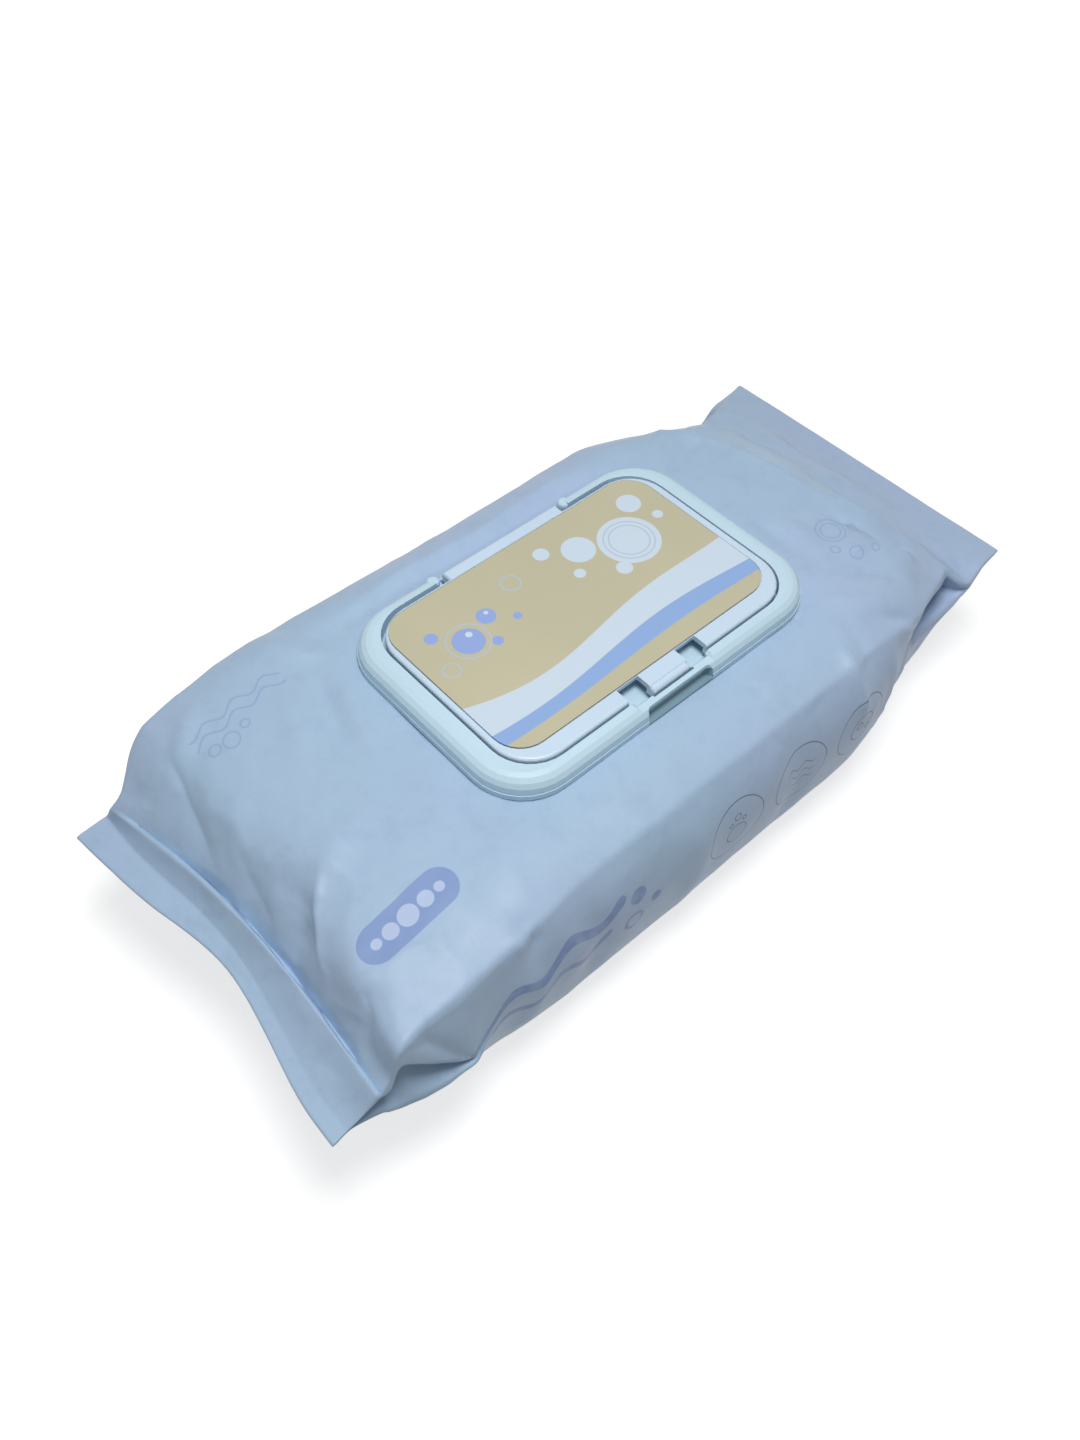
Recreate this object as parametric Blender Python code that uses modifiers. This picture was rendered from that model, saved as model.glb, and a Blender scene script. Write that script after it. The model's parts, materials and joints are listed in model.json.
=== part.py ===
"""A pack of wet wipes: a film pouch with tucked ends and a glued-on plastic dispenser with a flip-top lid.

Metres, +Z up. The pack lies on its flat underside, seals along X, the lid's clasp towards -Y.
"""

import math

import bmesh
import bpy

MM = 0.001
CLEARANCE = 0.3 * MM

# Pouch
PACK_LENGTH = 245 * MM
TOP_WIDTH = 108 * MM
BODY_WIDTH = 118 * MM
BASE_WIDTH = 97 * MM
PAD_HEIGHT = 55 * MM
TOP_EDGE_DROP = 3.5 * MM
BULGE_HEIGHT = 30 * MM
BACK_RIDGE = 0.9 * MM
UNDERSIDE_ROUND = 0.8 * MM

# End seals
SEAL_WIDTH = 100.5 * MM
SEAL_DEPTH = 6 * MM
SEAL_THICKNESS = 1.0 * MM
LEFT_SEAL_HEIGHT = 34.5 * MM
RIGHT_SEAL_HEIGHT = 37 * MM
LEFT_SEAL_SKEW = 6.5 * MM
RIGHT_SEAL_SKEW = 5 * MM
SKEW_START = 45 * MM
TUCK_DEPTH = 14 * MM

# Dispenser base
LID_CENTRE = (1.5 * MM, 1.5 * MM)
BASE_LENGTH = 105.4 * MM
BASE_DEPTH = 68.8 * MM
BASE_CORNER = 15 * MM
FLANGE_THICKNESS = 1.6 * MM
RIM_SIDE = 6.4 * MM
RIM_FRONT = 4.4 * MM
RIM_BACK = 3.9 * MM
RIM_HEIGHT = 4.1 * MM
RIM_CROWN = 3.6 * MM
OPENING_LENGTH = 62 * MM
OPENING_DEPTH = 36 * MM
OPENING_CORNER = 12 * MM
COLLAR_WALL = 1.2 * MM
COLLAR_HEIGHT = 2.0 * MM

# Glue ring
GLUE_INSET = 3.0 * MM
GLUE_WIDTH = 3.4 * MM
GLUE_THICKNESS = 0.6 * MM

# Peel-off seal
PEEL_LENGTH = 52 * MM
PEEL_DEPTH = 30 * MM
PEEL_CORNER = 9 * MM
PEEL_THICKNESS = 0.3 * MM
PEEL_TAB_RADIUS = 6 * MM

# Lid
LID_GAP = 0.6 * MM
LID_BACK_GAP = 1.4 * MM
LID_CORNER = 11 * MM
LID_HEIGHT = 3.2 * MM
LID_ABOVE_RIM = 0.6 * MM
LID_PLATE = 1.1 * MM
LID_WALL = 1.1 * MM
LID_EDGE_ROUND = 0.8 * MM
SEALING_RING_GAP = 0.4 * MM
SEALING_RING_WALL = 1.0 * MM
SEALING_RING_LENGTH = 2.3 * MM

# Label
LABEL_LENGTH = 87 * MM
LABEL_DEPTH = 52.6 * MM
LABEL_CORNER = 8 * MM
LABEL_THICKNESS = 0.3 * MM
LABEL_RECESS = 0.4 * MM
LABEL_OFFSET = (-0.5 * MM, 1.7 * MM)

# Clasp
TONGUE_WIDTH = 12.4 * MM
TONGUE_REACH = 1.5 * MM
NOTCH_WIDTH = 7 * MM
NOTCH_DEPTH = 4.6 * MM
LATCH_BAR_THICKNESS = 1.3 * MM
LATCH_BAR_DROP = 0.9 * MM
LATCH_RAMP_DEPTH = 0.9 * MM
LATCH_RAMP_DROP = 1.5 * MM
FINGER_WIDTH = 24 * MM
FINGER_CORNER = 1.6 * MM
FINGER_DEPTH = 2.4 * MM
FINGER_SCOOP = 1.6 * MM
FINGER_FLOOR = 0.6 * MM

# Hinge
HINGE_WIDTH = 38.8 * MM
HINGE_END_GAP = 1.2 * MM
HINGE_FROM_BACK = 1.7 * MM
HINGE_RISE = 1.1 * MM
HINGE_WALL = 1.0 * MM
HINGE_SPLIT = 0.25 * MM
HINGE_CHAMFER = 0.6 * MM

CORNER_SEGMENTS = 8
CUT_MARGIN = 2 * MM

# Heights and edges that follow from the sizes above
FLANGE_LOW = PAD_HEIGHT + CLEARANCE
DECK_TOP = FLANGE_LOW + FLANGE_THICKNESS
RIM_TOP = DECK_TOP + RIM_HEIGHT
LID_TOP = RIM_TOP + LID_ABOVE_RIM
LID_LOW = LID_TOP - LID_HEIGHT
PLATE_TOP = LID_TOP - LABEL_RECESS
PLATE_LOW = PLATE_TOP - LID_PLATE
BASE_FRONT = LID_CENTRE[1] - BASE_DEPTH / 2
BASE_BACK = LID_CENTRE[1] + BASE_DEPTH / 2
POCKET_FRONT = BASE_FRONT + RIM_FRONT
POCKET_BACK = BASE_BACK - RIM_BACK
POCKET_LENGTH = BASE_LENGTH - 2 * RIM_SIDE
LID_LENGTH = POCKET_LENGTH - 2 * LID_GAP
LID_FRONT = POCKET_FRONT + LID_GAP
LID_BACK = POCKET_BACK - LID_BACK_GAP
HINGE_Y = BASE_BACK - HINGE_FROM_BACK
HINGE_Z = DECK_TOP + HINGE_RISE
BAR_TOP = RIM_TOP - LATCH_BAR_DROP

# The rails below give a share or a distance at each inset, which is the distance from the seal's edge in this unit
INSET_UNIT = 1 * MM

# How far the left end is drawn in, against Y, along its edge, its seal's inner line, its ridge and its shoulder
LEFT_BOWS = (
    (1, ((-56, 0.5), (-44, 0.8), (-27, 4.2), (-7, 8), (14, 2), (43, -1.5))),
    (6, ((-56, -1.4), (-40, -1.0), (-25, 2.2), (-10, 5.3), (8, 4.6), (24, 0.5), (43, 0.8))),
    (12.5, ((-58, 0.4), (-44, 1.4), (-27, 2.6), (-10, 2.7), (7, 2.2), (24, -0.8), (43, -4.4))),
    (27, ((-52, -5.5), (-32, -3.5), (-16, 1), (4, 4), (20, -1.7), (40, -6.3))),
    (46, ((-60, 0), (60, 0))),
)

# Rails of the pouch, from the seal edge inwards. A top or edge share runs from the seal's height to the pad's or top
# edge's height, a lip share from the top edge down to the ear, a foot share from the seal's height down to the
# underside, and a width share is of the half width that it names.
LEFT_TOP = ((0, 0), (6, 0.02), (9, 0.11), (12.5, 0.28), (13.7, 0.12), (16, 0.31), (19, 0.54), (23, 0.74), (27, 0.87),
            (31, 0.94), (36, 0.975), (46, 0.99), (62, 1))
RIGHT_TOP = ((0, 0), (8, 0.05), (13, 0.17), (17, 0.28), (22, 0.43), (28, 0.63), (34, 0.83), (40, 0.91), (48, 0.955),
             (62, 1))
LEFT_FRONT_EDGE = ((6, 0.02), (9, 0.1), (12.5, 0.37), (13.7, 0.33), (19, 0.5), (23, 0.94), (27, 0.98), (31, 1))
LEFT_BACK_EDGE = ((6, 0.02), (9, 0.08), (12.5, 0.22), (15.5, 0.36), (19, 0.4), (23, 0.6), (27, 0.77), (31, 0.93),
                  (36, 1))
RIGHT_FRONT_EDGE = ((8, 0.05), (13, -0.1), (17, -0.2), (20, 0.19), (24, 0.28), (34, 0.47), (48, 0.66), (62, 0.94),
                    (75, 1))
RIGHT_BACK_EDGE = ((8, 0.05), (14, 0.16), (28, 0.34), (48, 0.68), (62, 0.92), (75, 1))
LEFT_FRONT_REACH = ((6, 0.935), (12.5, 0.955), (15.5, 0.96), (23, 0.965), (31, 0.968), (36, 0.98), (46, 1.005),
                    (62, 0.99))
LEFT_BACK_REACH = ((6, 0.925), (12.5, 0.885), (15.5, 0.865), (19, 0.885), (23, 0.94), (27, 0.975), (31, 0.99),
                   (46, 0.995), (62, 1.01))
RIGHT_FRONT_REACH = ((8, 0.93), (13, 0.935), (17, 0.945), (20, 0.81), (24, 0.835), (34, 0.88), (48, 0.94),
                     (62, 0.935), (90, 0.955))
RIGHT_BACK_REACH = ((8, 0.9), (14, 0.84), (28, 0.79), (48, 0.88), (62, 0.95), (75, 0.98), (90, 1))
LEFT_EAR = ((0, 0.839), (6, 0.85), (12.5, 0.88), (19, 0.915), (23, 0.935), (27, 0.955), (31, 0.985), (36, 1.003),
            (38, 1.01), (40, 0.985), (46, 0.97), (62, 1))
RIGHT_FRONT_EAR = ((0, 0.839), (13, 0.857), (24, 0.85), (34, 0.825), (40, 0.83), (48, 0.88), (58, 0.93), (75, 0.985),
                   (90, 1))
RIGHT_BACK_EAR = ((0, 0.839), (14, 0.87), (33, 0.885), (45, 0.88), (58, 0.93), (75, 0.985), (90, 1))
LEFT_LIP = ((6, 0.35), (13.7, 0.3), (19, 0.25), (23, 0.18), (27, 0.35), (31, 0.62), (36, 0.95), (38, 1), (40, 0.7),
            (46, 0.5), (62, 0.27))
RIGHT_LIP = ((8, 0.35), (17, 0.3), (20, 0.15), (28, 0.2), (48, 0.28), (62, 0.27))
LEFT_TUCK = ((6, 0), (9, 0.3), (12.5, 0.75), (19, 0.6), (31, 0.5), (36, 0.3), (38, 0.05), (40, 0))
RIGHT_TUCK = ((8, 0), (17, 0), (20, 1), (34, 0.85), (40, 0.45), (48, 0))
LEFT_TUCK_DROP = ((6, 0.5), (12.5, 0.45), (19, 0.2), (36, 0.22), (46, 0.4), (62, 0.45))
RIGHT_TUCK_DROP = ((8, 0.5), (17, 0.5), (20, 1.35), (34, 1.2), (40, 0.9), (48, 0.5), (62, 0.45))
FOOT_DROP = ((6, 0), (12.5, 0.25), (19, 0.58), (27, 0.88), (31, 0.97), (36, 1))
BASE_DROP = ((6, 0), (12.5, 0.28), (19, 0.64), (27, 0.93), (31, 0.99), (36, 1))
LEFT_FOOT = ((6, 0.75), (19, 0.86), (31, 0.93), (46, 0.98), (62, 1))
RIGHT_FOOT = ((8, 0.74), (20, 0.84), (33, 0.88), (48, 0.92), (62, 0.97), (75, 1))
LEFT_FLANK = ((6, 0.5), (19, 0.35), (31, 0.25), (36, 0.3), (46, 0.7), (62, 0.82))
RIGHT_FLANK = ((8, 0.5), (36, 0.82))
LEFT_STATIONS = (0, 1, 6, 9, 12.5, 13.7, 16, 19, 23, 27, 31, 36, 38, 40, 46, 62)
RIGHT_STATIONS = (0, 1, 8, 13, 17, 20, 24, 28, 34, 40, 48, 62)
MIDDLE_STATIONS = 2

# The points of half a ring in their order, from the middle of the top panel down to the middle of the underside
RING_POINTS = ("top middle", "inner top", "outer top", "shoulder", "top edge", "lip", "tuck", "ear", "flank", "foot",
               "inner underside", "underside middle")
# How sharp the cage's lengthways folds are against the inset, by the point that each runs along
LEFT_CREASES = {
    "top edge": ((6, 0.5), (19, 0.95), (46, 0.85), (62, 0.6)),
    "lip": ((12.5, 0), (19, 0.9), (38, 0.9), (46, 0)),
    "tuck": ((9, 0.6), (31, 0.7), (40, 0)),
    "ear": ((6, 0.9), (38, 0.9), (46, 0)),
}
RIGHT_CREASES = {
    "top edge": ((8, 0.8), (17, 1), (40, 0.85), (62, 0.6)),
    "lip": ((13, 0), (17, 0.8), (40, 0.5), (48, 0)),
    "tuck": ((8, 0.6), (34, 0.7), (48, 0)),
    "ear": ((8, 0.9), (34, 0.9), (48, 0)),
}
# How sharp the folds across the top are, by inset: the left seal's inner line, the ridge behind it and its valley
LEFT_CROSS_CREASES = {6: 0.8, 12.5: 1, 13.7: 0.6}

# Across a section, from the middle of the top to its edge: shares of the edge's reach and of its drop
TOP_COLUMNS = ((0, 0), (0.41, 0), (0.73, 0), (0.87, 0.27), (1, 1))
END_TOP_DROPS = (0, 0.1, 0.45, 0.8, 1)


def along(rail, inset):
    """The rail's share at this inset, in a straight line between its points."""
    for (near, low), (far, high) in zip(rail, rail[1:]):
        if inset < near:
            return low
        if inset <= far:
            return low + (high - low) * (inset - near) / (far - near)
    return rail[-1][1]


def mix(low, high, share):
    return low + (high - low) * share


def clear_scene():
    for obj in list(bpy.data.objects):
        bpy.data.objects.remove(obj, do_unlink=True)


def collection_named(name):
    found = bpy.data.collections.new(name)
    bpy.context.scene.collection.children.link(found)
    return found


def plastic(name, colour, roughness):
    material = bpy.data.materials.new(name)
    material.use_nodes = True
    shader = material.node_tree.nodes["Principled BSDF"]
    shader.inputs["Base Color"].default_value = (*colour, 1)
    shader.inputs["Roughness"].default_value = roughness
    shader.inputs["Metallic"].default_value = 0
    return material


def object_from(bm, name, collection, material=None):
    """Turns the bmesh into an object with its faces pointing out and shaded smooth between sharp edges."""
    bmesh.ops.recalc_face_normals(bm, faces=bm.faces)
    mesh = bpy.data.meshes.new(name)
    bm.to_mesh(mesh)
    bm.free()
    mesh.shade_smooth()
    mesh.set_sharp_from_angle(angle=math.radians(35))
    obj = bpy.data.objects.new(name, mesh)
    collection.objects.link(obj)
    if material:
        mesh.materials.append(material)
    return obj


def rounded_block(low, high, corner, top_round=0.0, round_segments=3):
    """A bmesh block from corner to corner, its upright edges rounded and, if asked, its top edge too."""
    bm = bmesh.new()
    bmesh.ops.create_cube(bm, size=1)
    for vert in bm.verts:
        vert.co = [mix(low[i], high[i], vert.co[i] + 0.5) for i in range(3)]
    if corner:
        upright = [e for e in bm.edges if abs(e.verts[0].co.z - e.verts[1].co.z) > (high[2] - low[2]) / 2]
        bmesh.ops.bevel(bm, geom=upright, offset=corner, segments=CORNER_SEGMENTS, profile=0.5, affect="EDGES")
    if top_round:
        top = [e for e in bm.edges if min(v.co.z for v in e.verts) > high[2] - top_round / 10]
        bmesh.ops.bevel(bm, geom=top, offset=top_round, segments=round_segments, profile=0.5, affect="EDGES")
    return bm


def round_post(centre, radius, z_low, z_high, top_round=0.0):
    bm = bmesh.new()
    bmesh.ops.create_cone(bm, cap_ends=True, segments=4 * CORNER_SEGMENTS, radius1=radius, radius2=radius,
                          depth=z_high - z_low)
    bmesh.ops.translate(bm, verts=bm.verts, vec=(*centre, (z_low + z_high) / 2))
    if top_round:
        top = [e for e in bm.edges if min(v.co.z for v in e.verts) > z_high - top_round / 10]
        bmesh.ops.bevel(bm, geom=top, offset=top_round, segments=3, profile=0.5, affect="EDGES")
    return bm


def block_about(centre, length, depth, z_low, z_high, corner, top_round=0.0, round_segments=3):
    low = (centre[0] - length / 2, centre[1] - depth / 2, z_low)
    high = (centre[0] + length / 2, centre[1] + depth / 2, z_high)
    return rounded_block(low, high, corner, top_round, round_segments)


def cutter(bm, name):
    obj = object_from(bm, name, bpy.data.collections["cutters"])
    obj.hide_render = True
    obj.display_type = "WIRE"
    return obj


def combine(obj, other, operation):
    modifier = obj.modifiers.new(other.name, "BOOLEAN")
    modifier.operation = operation
    modifier.object = other


def cut(obj, bm, name):
    combine(obj, cutter(bm, name), "DIFFERENCE")


def join(obj, bm, name):
    combine(obj, cutter(bm, name), "UNION")


def seal_bow(inset, y):
    """How far the left end is drawn in at this Y: most at its kink, and gone at the body."""
    rail = [(at, along(bow, y / INSET_UNIT)) for at, bow in LEFT_BOWS]
    return along(rail, inset) * INSET_UNIT


def half_section(left, back, inset):
    """(y, z) down one side of the pouch, from the middle of the top panel to the middle of the underside."""
    seal_z = LEFT_SEAL_HEIGHT if left else RIGHT_SEAL_HEIGHT
    top_rail = LEFT_TOP if left else RIGHT_TOP
    if left:
        edge_rail, reach_rail = (LEFT_BACK_EDGE, LEFT_BACK_REACH) if back else (LEFT_FRONT_EDGE, LEFT_FRONT_REACH)
    else:
        edge_rail, reach_rail = (RIGHT_BACK_EDGE, RIGHT_BACK_REACH) if back else (RIGHT_FRONT_EDGE, RIGHT_FRONT_REACH)
    lift = SEAL_THICKNESS / 2
    top_z = mix(seal_z + lift, PAD_HEIGHT, along(top_rail, inset))
    edge_z = mix(seal_z + lift, PAD_HEIGHT - TOP_EDGE_DROP, along(edge_rail, inset))
    edge_y = along(reach_rail, inset) * TOP_WIDTH / 2
    points = []
    for (reach, drop), end_drop in zip(TOP_COLUMNS, END_TOP_DROPS):
        share = mix(end_drop, drop, along(((25, 0), (46, 1)), inset))
        points.append([reach * edge_y, mix(top_z, edge_z, share)])
    if back:
        points[3][1] += (TOP_EDGE_DROP * TOP_COLUMNS[3][1] + BACK_RIDGE) * along(((31, 0), (62, 1)), inset)

    right_ear = RIGHT_BACK_EAR if back else RIGHT_FRONT_EAR
    ear_y = along(LEFT_EAR if left else right_ear, inset) * BODY_WIDTH / 2
    ear_z = mix(seal_z - lift, BULGE_HEIGHT, along(((SEAL_DEPTH / INSET_UNIT, 0), (19, 0.9), (36, 1)), inset))
    tuck = along(LEFT_TUCK if left else RIGHT_TUCK, inset)
    tuck_y = mix(mix(edge_y, ear_y, 0.85), min(edge_y, ear_y) - TUCK_DEPTH, tuck)
    lip = along(LEFT_LIP if left else RIGHT_LIP, inset)
    lip_y = mix(edge_y, ear_y, mix(lip, 0.55, along(((36, 0), (62, 1)), inset)))
    lip_z = mix(edge_z, ear_z, lip)
    tuck_z = mix(lip_z, ear_z, along(LEFT_TUCK_DROP if left else RIGHT_TUCK_DROP, inset))
    points += [[lip_y, lip_z], [tuck_y, tuck_z], [ear_y, ear_z]]

    foot_y = along(LEFT_FOOT if left else RIGHT_FOOT, inset) * BASE_WIDTH / 2
    foot_z = mix(seal_z - lift, UNDERSIDE_ROUND, along(FOOT_DROP, inset))
    base_z = mix(seal_z - lift, 0, along(BASE_DROP, inset))
    flank_y = mix(foot_y, ear_y, along(LEFT_FLANK if left and not back else RIGHT_FLANK, inset))
    points += [[flank_y, mix(foot_z, ear_z, 0.28)], [foot_y, foot_z], [foot_y / 2, base_z], [0, base_z]]
    if inset < SEAL_DEPTH / INSET_UNIT:
        flatten_to_seal(points, seal_z)
    return points


def flatten_to_seal(points, seal_z):
    """Makes the section the flat strip where both panels are welded together."""
    last = len(points) - 1
    for index, point in enumerate(points):
        from_edge = min(index, last - index)
        shares = (0, 0.41, 0.73, 0.87, 1, 1)
        point[0] = shares[from_edge] * SEAL_WIDTH / 2
        side = 1 if index <= last / 2 else -1
        point[1] = seal_z + side * SEAL_THICKNESS / (6 if from_edge == 5 else 2)


def pouch_ring(left, inset):
    """One closed ring of cage points, down the front side and up the back."""
    front = half_section(left, False, inset)
    back = half_section(left, True, inset)
    outline = [(-y, z) for y, z in front] + [(y, z) for y, z in back[-2:0:-1]]
    side = -1 if left else 1
    x = side * (PACK_LENGTH / 2 - inset * INSET_UNIT)
    seal_skew = LEFT_SEAL_SKEW if left else RIGHT_SEAL_SKEW
    skew = side * seal_skew * (1 - min(inset * INSET_UNIT / SKEW_START, 1)) ** 0.7
    ring = []
    for y, z in outline:
        bow = seal_bow(inset, y + skew) if left else 0
        ring.append((x + bow, y + skew, z))
    return ring


def crease_cage(bm, stations, rows):
    """Sharpens the folds that run along the pack's edges and tucks, and those across its left end."""
    crease = bm.edges.layers.float.new("crease_edge")
    count = len(rows[0])
    for (left, near_inset), (_, far_inset), near, far in zip(stations, stations[1:], rows, rows[1:]):
        for point, rail in (LEFT_CREASES if left else RIGHT_CREASES).items():
            position = RING_POINTS.index(point)
            for i in (position, count - position):
                bm.edges.get((near[i], far[i]))[crease] = (along(rail, near_inset) + along(rail, far_inset)) / 2
    for (left, inset), row in zip(stations, rows):
        if left and inset in LEFT_CROSS_CREASES:
            edge = RING_POINTS.index("top edge")
            for i in range(-edge, edge):
                bm.edges.get((row[i % count], row[(i + 1) % count]))[crease] = LEFT_CROSS_CREASES[inset]


def build_pouch(collection, material):
    """The filled pouch as one soft solid: a coarse cage of sections along X, rounded by subdivision."""
    stations = [(True, inset) for inset in LEFT_STATIONS]
    rings = [pouch_ring(*station) for station in stations]
    middle = (False, PACK_LENGTH / 2 / INSET_UNIT)
    start_x, end_x = rings[-1][0][0], PACK_LENGTH / 2 - RIGHT_STATIONS[-1] * INSET_UNIT
    for step in range(1, MIDDLE_STATIONS + 1):
        x = mix(start_x, end_x, step / (MIDDLE_STATIONS + 1))
        stations.append(middle)
        rings.append([(x, y, z) for _, y, z in pouch_ring(*middle)])
    for inset in reversed(RIGHT_STATIONS):
        stations.append((False, inset))
        rings.append(pouch_ring(False, inset))

    bm = bmesh.new()
    rows = [[bm.verts.new(point) for point in ring] for ring in rings]
    count = len(rows[0])
    for near, far in zip(rows, rows[1:]):
        for i in range(count):
            bm.faces.new((near[i], near[(i + 1) % count], far[(i + 1) % count], far[i]))
    half = count // 2
    for row in (rows[0], rows[-1]):
        for sign in (1, -1):
            for k in range(half // 2):
                quad = (k, k + 1, half - k - 1, half - k)
                bm.faces.new([row[sign * i % count] for i in quad])
    crease_cage(bm, stations, rows)
    pouch = object_from(bm, "film_pouch", collection, material)
    rounding = pouch.modifiers.new("rounding", "SUBSURF")
    rounding.levels = rounding.render_levels = 1
    return pouch


def build_glue(collection, material):
    """The flat ring of glue that holds the dispenser on the film."""
    low, high = FLANGE_LOW, FLANGE_LOW + GLUE_THICKNESS
    glue = object_from(glue_block(GLUE_INSET, low, high), "glue_ring", collection, material)
    cut(glue, glue_block(GLUE_INSET + GLUE_WIDTH, low - CUT_MARGIN, high + CUT_MARGIN), "glue_inside")
    return glue


def glue_block(inset, z_low, z_high):
    corner = max(BASE_CORNER - inset, BASE_CORNER / 4)
    return block_about(LID_CENTRE, BASE_LENGTH - 2 * inset, BASE_DEPTH - 2 * inset, z_low, z_high, corner)


def build_base(collection, material):
    """The dispenser's base: flange, crowned rim, collar round the opening, clasp bar and hinge wall."""
    base = object_from(
        block_about(LID_CENTRE, BASE_LENGTH, BASE_DEPTH, FLANGE_LOW, DECK_TOP, BASE_CORNER),
        "lid_base", collection, material,
    )
    join(base, block_about(LID_CENTRE, BASE_LENGTH - CLEARANCE, BASE_DEPTH - CLEARANCE, DECK_TOP - CLEARANCE,
                           RIM_TOP, BASE_CORNER, RIM_CROWN, 4), "rim")
    pocket = rounded_block((LID_CENTRE[0] - POCKET_LENGTH / 2, POCKET_FRONT, DECK_TOP),
                           (LID_CENTRE[0] + POCKET_LENGTH / 2, POCKET_BACK, RIM_TOP + CUT_MARGIN), LID_CORNER + LID_GAP)
    cut(base, pocket, "lid_pocket")
    collar_length, collar_depth = OPENING_LENGTH + 2 * COLLAR_WALL, OPENING_DEPTH + 2 * COLLAR_WALL
    join(base, block_about(LID_CENTRE, collar_length, collar_depth, DECK_TOP - CLEARANCE, DECK_TOP + COLLAR_HEIGHT,
                           OPENING_CORNER + COLLAR_WALL), "collar")
    cut(base, block_about(LID_CENTRE, OPENING_LENGTH, OPENING_DEPTH, FLANGE_LOW - CUT_MARGIN, RIM_TOP + CUT_MARGIN,
                          OPENING_CORNER), "dispensing_opening")
    cut_hinge_gap(base)
    cut_clasp(base)
    cut_glue_groove(base)
    return base


def cut_hinge_gap(base):
    """Opens the rim's back for the hinge, with round rim ends, and adds the low wall that the hinge web leaves."""
    half_gap = HINGE_WIDTH / 2 + HINGE_END_GAP
    end_radius = RIM_BACK / 2
    gap = rounded_block((LID_CENTRE[0] - half_gap - end_radius, POCKET_BACK - CUT_MARGIN, DECK_TOP),
                        (LID_CENTRE[0] + half_gap + end_radius, BASE_BACK + CUT_MARGIN, RIM_TOP + CUT_MARGIN), 0)
    cut(base, gap, "hinge_gap")
    for side in (-1, 1):
        centre = (LID_CENTRE[0] + side * (half_gap + end_radius), BASE_BACK - end_radius - CLEARANCE / 2)
        end = round_post(centre, end_radius - CLEARANCE / 2, DECK_TOP - CLEARANCE, RIM_TOP - CLEARANCE, end_radius / 2)
        join(base, end, "rim_end")
    wall_front = HINGE_Y + HINGE_SPLIT
    wall = rounded_block((LID_CENTRE[0] - HINGE_WIDTH / 2, wall_front, DECK_TOP - CLEARANCE),
                         (LID_CENTRE[0] + HINGE_WIDTH / 2, wall_front + HINGE_WALL, HINGE_Z - CLEARANCE), 0)
    outer_top = [e for e in wall.edges if min(v.co.y for v in e.verts) > wall_front + HINGE_WALL / 2
                 and min(v.co.z for v in e.verts) > DECK_TOP]
    bmesh.ops.bevel(wall, geom=outer_top, offset=HINGE_CHAMFER, segments=1, affect="EDGES")
    join(base, wall, "hinge_wall")


def cut_clasp(base):
    """Leaves a bar in front of the lid's tongue, lower than the rim and set back, with a finger recess under it."""
    x = LID_CENTRE[0]
    half = FINGER_WIDTH / 2
    saddle = rounded_block((x - half, BASE_FRONT - CUT_MARGIN, BAR_TOP), (x + half, POCKET_FRONT + CUT_MARGIN,
                           RIM_TOP + CUT_MARGIN), 0)
    for vert in saddle.verts:
        if vert.co.z > RIM_TOP:
            vert.co.x += math.copysign(vert.co.z - BAR_TOP, vert.co.x - x)
    cut(base, saddle, "clasp_saddle")
    ramp = rounded_block((x - half, POCKET_FRONT - LATCH_RAMP_DEPTH, BAR_TOP), (x + half, POCKET_FRONT + CLEARANCE,
                         RIM_TOP + CUT_MARGIN), 0)
    for vert in ramp.verts:
        if vert.co.z < RIM_TOP and vert.co.y > POCKET_FRONT:
            vert.co.z -= LATCH_RAMP_DROP * (LATCH_RAMP_DEPTH + CLEARANCE) / LATCH_RAMP_DEPTH
    cut(base, ramp, "latch_ramp")
    tongue_slot = TONGUE_WIDTH / 2 + LID_GAP
    cut(base, rounded_block((x - tongue_slot, LID_FRONT - TONGUE_REACH - LID_GAP, DECK_TOP),
                            (x + tongue_slot, POCKET_FRONT + CUT_MARGIN, RIM_TOP + CUT_MARGIN), 0), "tongue_slot")
    recess_half = half - RIM_FRONT / 4
    recess_low = FLANGE_LOW + FINGER_FLOOR
    for name, depth, top in (("finger_recess", FINGER_DEPTH, BAR_TOP - LATCH_BAR_THICKNESS),
                             ("finger_scoop", FINGER_SCOOP, RIM_TOP + CUT_MARGIN)):
        cut(base, rounded_block((x - recess_half, BASE_FRONT - CUT_MARGIN - FINGER_CORNER, recess_low),
                                (x + recess_half, BASE_FRONT + depth, top), FINGER_CORNER), name)


def cut_glue_groove(base):
    """A groove in the flange's underside, which the glue ring fills."""
    low, high = FLANGE_LOW - CUT_MARGIN, FLANGE_LOW + GLUE_THICKNESS + CLEARANCE
    groove = cutter(glue_block(GLUE_INSET - CLEARANCE, low, high), "glue_groove")
    cut(groove, glue_block(GLUE_INSET + GLUE_WIDTH + CLEARANCE, low - CUT_MARGIN, high + CUT_MARGIN), "glue_island")
    combine(base, groove, "DIFFERENCE")


def build_peel_seal(collection, material):
    """The peel-off seal over the film's cut opening, with its round pull tab."""
    low, high = PAD_HEIGHT + CLEARANCE, PAD_HEIGHT + CLEARANCE + PEEL_THICKNESS
    centre = (LID_CENTRE[0] - PEEL_TAB_RADIUS / 2, LID_CENTRE[1])
    seal = object_from(block_about(centre, PEEL_LENGTH, PEEL_DEPTH, low, high, PEEL_CORNER), "peel_seal",
                       collection, material)
    join(seal, round_post((centre[0] + PEEL_LENGTH / 2, centre[1]), PEEL_TAB_RADIUS, low, high), "pull_tab")
    return seal


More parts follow.
